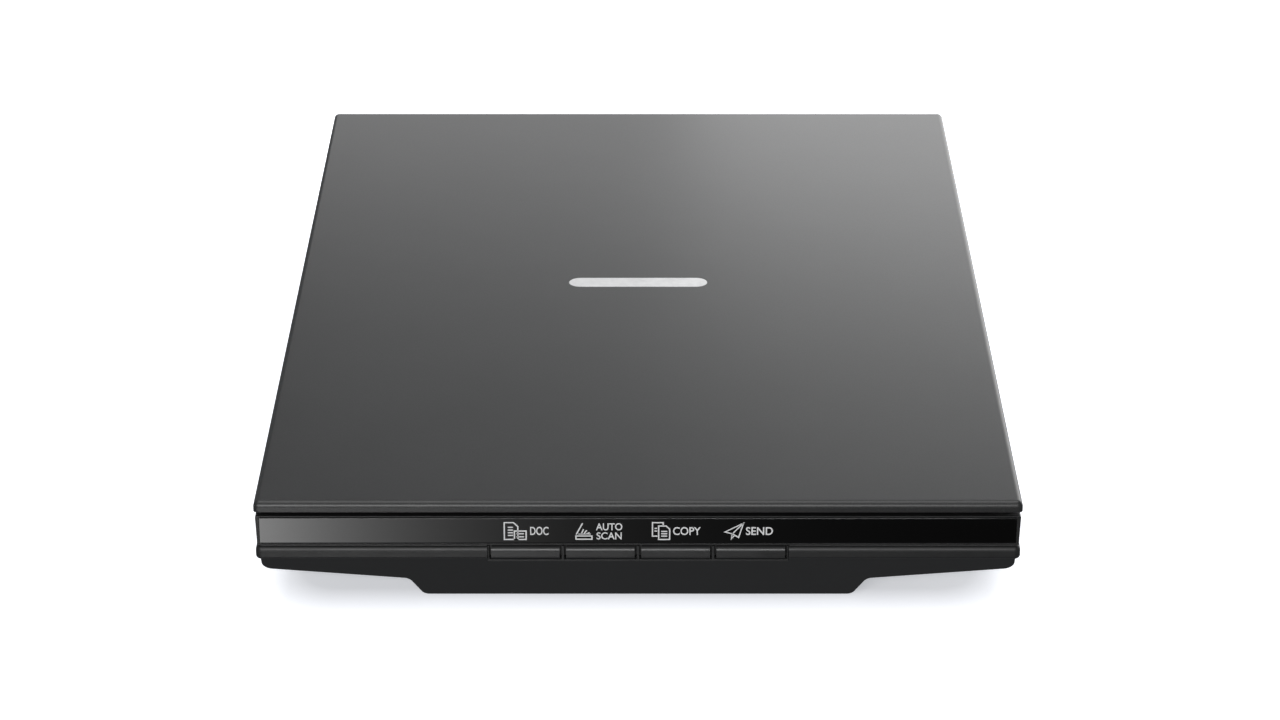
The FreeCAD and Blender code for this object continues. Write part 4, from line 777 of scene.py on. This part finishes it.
def lettering(word, x, z):
    """A word in a plain sans-serif, fitted between two x and two z values, as triangles."""
    curve = bpy.data.curves.new("word", "FONT")
    curve.body = word
    curve.offset = 0.012
    curve.resolution_u = 6
    holder = bpy.data.objects.new("word", curve)
    bpy.context.scene.collection.objects.link(holder)
    mesh = bpy.data.meshes.new_from_object(holder.evaluated_get(bpy.context.evaluated_depsgraph_get()))
    bpy.data.objects.remove(holder)
    spots = [v.co.to_2d() for v in mesh.vertices]
    low = Vector((min(s.x for s in spots), min(s.y for s in spots)))
    high = Vector((max(s.x for s in spots), max(s.y for s in spots)))
    fit = [Vector((x[0] + (s.x - low.x) / (high.x - low.x) * (x[1] - x[0]),
                   z[0] + (s.y - low.y) / (high.y - low.y) * (z[1] - z[0]))) for s in spots]
    return [[fit[i] for i in p.vertices] for p in mesh.polygons]


def page(x, z, fold, line):
    """An upright page outline with a folded corner."""
    outline = [(x[0], z[0]), (x[1], z[0]), (x[1], z[1] - fold), (x[1] - fold, z[1]), (x[0], z[1])]
    return stroke(outline, line, closed=True)


def within(x, z):
    """A function that turns shares of a box's width and height into a place in the box."""
    def at(across, up):
        return x[0] + across * (x[1] - x[0]), z[0] + up * (z[1] - z[0])
    return at


def bars(at, left, right, levels, line):
    """Level lines from the left to the right share of a box, one at each share of its height."""
    return [patch for up in levels for patch in stroke([at(left, up), at(right, up)], line)]


def document_icon(x, z, line):
    """A page of text with a small card over its lower corner."""
    at, wide = within(x, z), x[1] - x[0]
    shapes = page((x[0], x[0] + 0.62 * wide), z, 0.2 * wide, line)
    shapes += bars(at, 0.16, 0.4, (0.72, 0.56, 0.4, 0.24), line)
    shapes += stroke([at(0.46, 0), at(1, 0), at(1, 0.5), at(0.46, 0.5)], line, closed=True)
    shapes += bars(at, 0.56, 0.9, (0.16, 0.34), line)
    return shapes


def rays_icon(x, z, line):
    """An open scanner: a low bed, its raised lid and three rays of light."""
    at = within(x, z)
    shapes = stroke([at(0, 0), at(1, 0), at(1, 0.2), at(0, 0.2)], line, closed=True)
    shapes += stroke([at(0.02, 0.3), at(0.42, 1.0)], line)
    rays = [((0.36, 0.38), (0.48, 0.62)), ((0.52, 0.36), (0.68, 0.56)), ((0.64, 0.32), (0.86, 0.42))]
    for foot, head in rays:
        shapes += stroke([at(*foot), at(*head)], line)
    shapes += stroke([at(0.14, 0.32), at(0.92, 0.32)], line * 0.7)
    return shapes


def copies_icon(x, z, line):
    """Two pages, one in front of the other."""
    at, wide = within(x, z), x[1] - x[0]
    shapes = stroke([at(0.3, 0.2), at(0, 0.2), at(0, 1), at(0.62, 1), at(0.62, 0.86)], line)
    left, top = at(0.36, 0.8)
    shapes += page((left, x[1]), (z[0], top), 0.2 * wide, line)
    shapes += bars(at, 0.5, 0.86, (0.2, 0.34, 0.48), line)
    shapes += bars(at, 0.12, 0.28, (0.5, 0.66), line)
    return shapes


def plane_icon(x, z, line):
    """A folded paper dart."""
    at = within(x, z)
    shapes = stroke([at(0, 0.42), at(1, 1), at(0.74, 0.06), at(0.4, 0.3)], line, closed=True)
    shapes += stroke([at(1, 1), at(0.4, 0.3), at(0.34, -0.04), at(0.52, 0.2)], line * 0.9)
    return shapes


def printed(name, patches, body, surface, flat):
    """Flat patches turned into a thin layer of ink. surface maps (x, z, height) onto the printed face."""
    points, faces = [], []
    for patch in patches:
        count, start = len(patch), len(points)
        points += [surface(p.x, p.y, 0.0) for p in patch] + [surface(p.x, p.y, flat) for p in patch]
        faces.append(tuple(range(start, start + count)))
        faces.append(tuple(range(start + 2 * count - 1, start + count - 1, -1)))
        for k in range(count):
            n = (k + 1) % count
            faces.append((start + k, start + n, start + count + n, start + count + k))
    return piece(name, mesh_of(name, points, faces), body, "badge_silver", finish="label_ink", smooth=False)


def strip_labels():
    """The four button labels on the glossy strip: a pictogram and a plain word each."""
    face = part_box("front_strip")[0].y
    line = 0.42

    def surface(x, z, height):
        return x * MM, face + INK_SUNK - height, z * MM

    icons = {
        "label_document": document_icon((-43.5, -36.4), (28.5, 34.6), line),
        "label_auto_scan": rays_icon((-20.2, -15.0), (28.6, 34.4), line),
        "label_copy": copies_icon((4.7, 10.3), (28.5, 34.6), line),
        "label_send": plane_icon((28.3, 34.3), (28.9, 34.4), line),
    }
    words = {
        "label_document": [("DOC", (-35.1, -29.1), (30.1, 33.1))],
        "label_auto_scan": [("AUTO", (-13.7, -5.1), (31.8, 34.4)), ("SCAN", (-13.5, -5.3), (28.5, 31.1))],
        "label_copy": [("COPY", (11.4, 20.4), (30.1, 33.0))],
        "label_send": [("SEND", (35.1, 43.9), (30.1, 33.0))],
    }
    for name, icon in icons.items():
        letters = [patch for word in words[name] for patch in lettering(*word)]
        printed(name, icon + letters, "base", surface, INK_THICK)


def platen_marks():
    """Page marks printed on the frame round the glass: a corner arrow and ticks for page widths."""
    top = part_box("platen_frame")[1].z
    corner = (109.5, -157.0)

    def surface(x, y, height):
        return x * MM, y * MM, top - INK_SUNK + height

    x, y = corner[0] + 2.2, corner[1] - 2.2
    arrow = [[Vector((x - 1.6, y + 1.6)), Vector((x + 2.6, y + 0.4)), Vector((x - 0.4, y - 2.6))]]
    arrow += stroke([(x + 0.8, y - 0.8), (x + 4.2, y - 4.2)], 0.9)
    ticks = []
    for page_wide in (148.0, 210.0, 216.0):
        across = corner[0] - page_wide
        ticks += stroke([(across, corner[1] - 1.4), (across, corner[1] - 4.6)], 0.5)
    printed("platen_marks", arrow + ticks, "base", surface, INK_THICK)


# ---------------------------------------------------------------- studio


def softbox(name, place, aim, size, power):
    """A soft rectangular lamp that isn't seen itself."""
    lamp = bpy.data.lights.new(name, "AREA")
    lamp.shape = "RECTANGLE"
    lamp.size, lamp.size_y = size
    lamp.energy = power
    obj = bpy.data.objects.new(name, lamp)
    obj.location = place
    obj.rotation_euler = (Vector(aim) - Vector(place)).to_track_quat("-Z", "Y").to_euler()
    obj.visible_camera = False
    bpy.context.scene.collection.objects.link(obj)


def staged(name, mesh, finish):
    """A piece of the studio, which isn't part of the scanner."""
    mesh.materials.append(finish.material)
    obj = bpy.data.objects.new(name, mesh)
    bpy.context.scene.collection.objects.link(obj)
    return obj


def floor():
    """A wide, pale floor. Seen from below it is clear, so that the underside can be looked at."""
    reach = 14.0
    corners = [(-reach, -reach, 0), (reach, -reach, 0), (reach, reach, 0), (-reach, reach, 0)]
    finish = Finish("floor", rough=0.9, shine=0.1)
    tone = finish.noise(0.35, 2.0)
    finish.feed("colour", finish.colours(tone, (0.0, (0.86, 0.865, 0.885)), (1.0, (0.88, 0.885, 0.9))))

    # painted shadow: it glows nearly white round the scanner, and less so under it, where a shadow would lie
    apart = []
    for letter, half in (("X", 0.1), ("Y", 0.15)):
        along = finish.add("Math", {0: finish.axis(letter)}, operation="ABSOLUTE").outputs["Value"]
        apart.append(finish.sum(finish.sum(along, half, "SUBTRACT"), 0.0, "MAXIMUM"))
    gap = finish.add("CombineXYZ", {"X": apart[0], "Y": apart[1]}).outputs["Vector"]
    away = finish.add("VectorMath", {0: gap}, operation="LENGTH").outputs["Value"]
    glow = finish.span(away, 0.012, 0.036, 0.4, 0.97)
    finish.shader.inputs["Emission Color"].default_value = (0.93, 0.95, 1.0, 1.0)
    finish.tree.links.new(glow, finish.shader.inputs["Emission Strength"])
    below = finish.add("NewGeometry").outputs["Backfacing"]
    clear = finish.add("BsdfTransparent").outputs[0]
    mix = finish.add("MixShader", {0: below, 1: finish.shader.outputs[0], 2: clear})
    finish.tree.links.new(mix.outputs[0], finish.output.inputs["Surface"])
    obj = staged("floor", mesh_of("floor", corners, [(0, 1, 2, 3)]), finish)
    obj.location.z = -0.0002
    obj.visible_glossy = False
    obj.visible_diffuse = False


def reflector():
    """A glowing card, low in front and to the left, that only shows as a fading gleam in the strip."""
    left, right, low, high, forward = -0.42, 0.3, -0.9, -0.2, -1.3
    brightest, strength, fading = -0.22, 2.9, 0.072
    corners = [(left, 0, low), (right, 0, low), (right, 0, high), (left, 0, high)]
    finish = Finish("reflector")
    fade = finish.sum(finish.sum(finish.axis("X"), -brightest), -1 / fading, "MULTIPLY")
    glow = finish.add("Math", {0: fade}, operation="EXPONENT").outputs["Value"]
    begin = finish.span(finish.axis("X"), left, brightest - 0.02, 0, 1)
    power = finish.sum(finish.sum(glow, strength, "MULTIPLY"), begin, "MULTIPLY")
    lamp = finish.add("Emission", {"Strength": power}).outputs[0]
    finish.tree.links.new(lamp, finish.output.inputs["Surface"])
    obj = staged("reflector", mesh_of("reflector", corners, [(0, 1, 2, 3)]), finish)
    obj.location.y = forward
    for sight in ("camera", "diffuse", "transmission", "volume_scatter", "shadow"):
        setattr(obj, "visible_" + sight, False)


def studio():
    world = bpy.data.worlds.new("studio")
    world.use_nodes = True
    sky = world.node_tree.nodes["Background"]
    sky.inputs["Color"].default_value = (0.93, 0.96, 1.0, 1.0)
    seen = world.node_tree.nodes.new("ShaderNodeLightPath").outputs["Is Camera Ray"]
    spread = world.node_tree.nodes.new("ShaderNodeMapRange")
    spread.inputs["To Min"].default_value = 0.22
    world.node_tree.links.new(seen, spread.inputs["Value"])
    world.node_tree.links.new(spread.outputs["Result"], sky.inputs["Strength"])
    bpy.context.scene.world = world
    bpy.context.scene.view_settings.view_transform = "Standard"
    floor()
    reflector()
    softbox("overhead", (0.0, 0.1, 1.7), (0, 0, 0), (1.5, 1.5), 17)
    softbox("front", (-0.3, -1.9, 0.75), (0, -0.1, 0.03), (1.2, 0.5), 22)
    softbox("back_near", (0.29, 0.32, 0.09), (0.05, 0, 0.05), (0.65, 0.25), 0.6)
    softbox("back_wide", (0.21, 0.34, 0.09), (0.05, 0, 0.05), (0.95, 0.25), 1.05)


def camera():
    """A long lens in front of the scanner and a little above it."""
    lens = bpy.data.cameras.new("camera")
    lens.lens = 107.86
    lens.sensor_width = 36.0
    eye = bpy.data.objects.new("camera", lens)
    eye.location = (0.00065, -1.3022, 0.5859)
    eye.rotation_euler = Euler((math.radians(66.2), 0, 0))
    bpy.context.scene.collection.objects.link(eye)
    bpy.context.scene.camera = eye


# ---------------------------------------------------------------- the scanner

slot_of = {part["node"]: part["material_slot"] for part in frame["record"]["subparts"]}
for node, obj in nodes.items():
    obj.data.materials.clear()
    obj.data.materials.append(FINISHES[slot_of[node]])

camera()
studio()
lid_pad()
lid_bumpers()
feet()
sensor_springs()
belt()
sensor_ribbon()
solder_points()
strip_labels()
platen_marks()
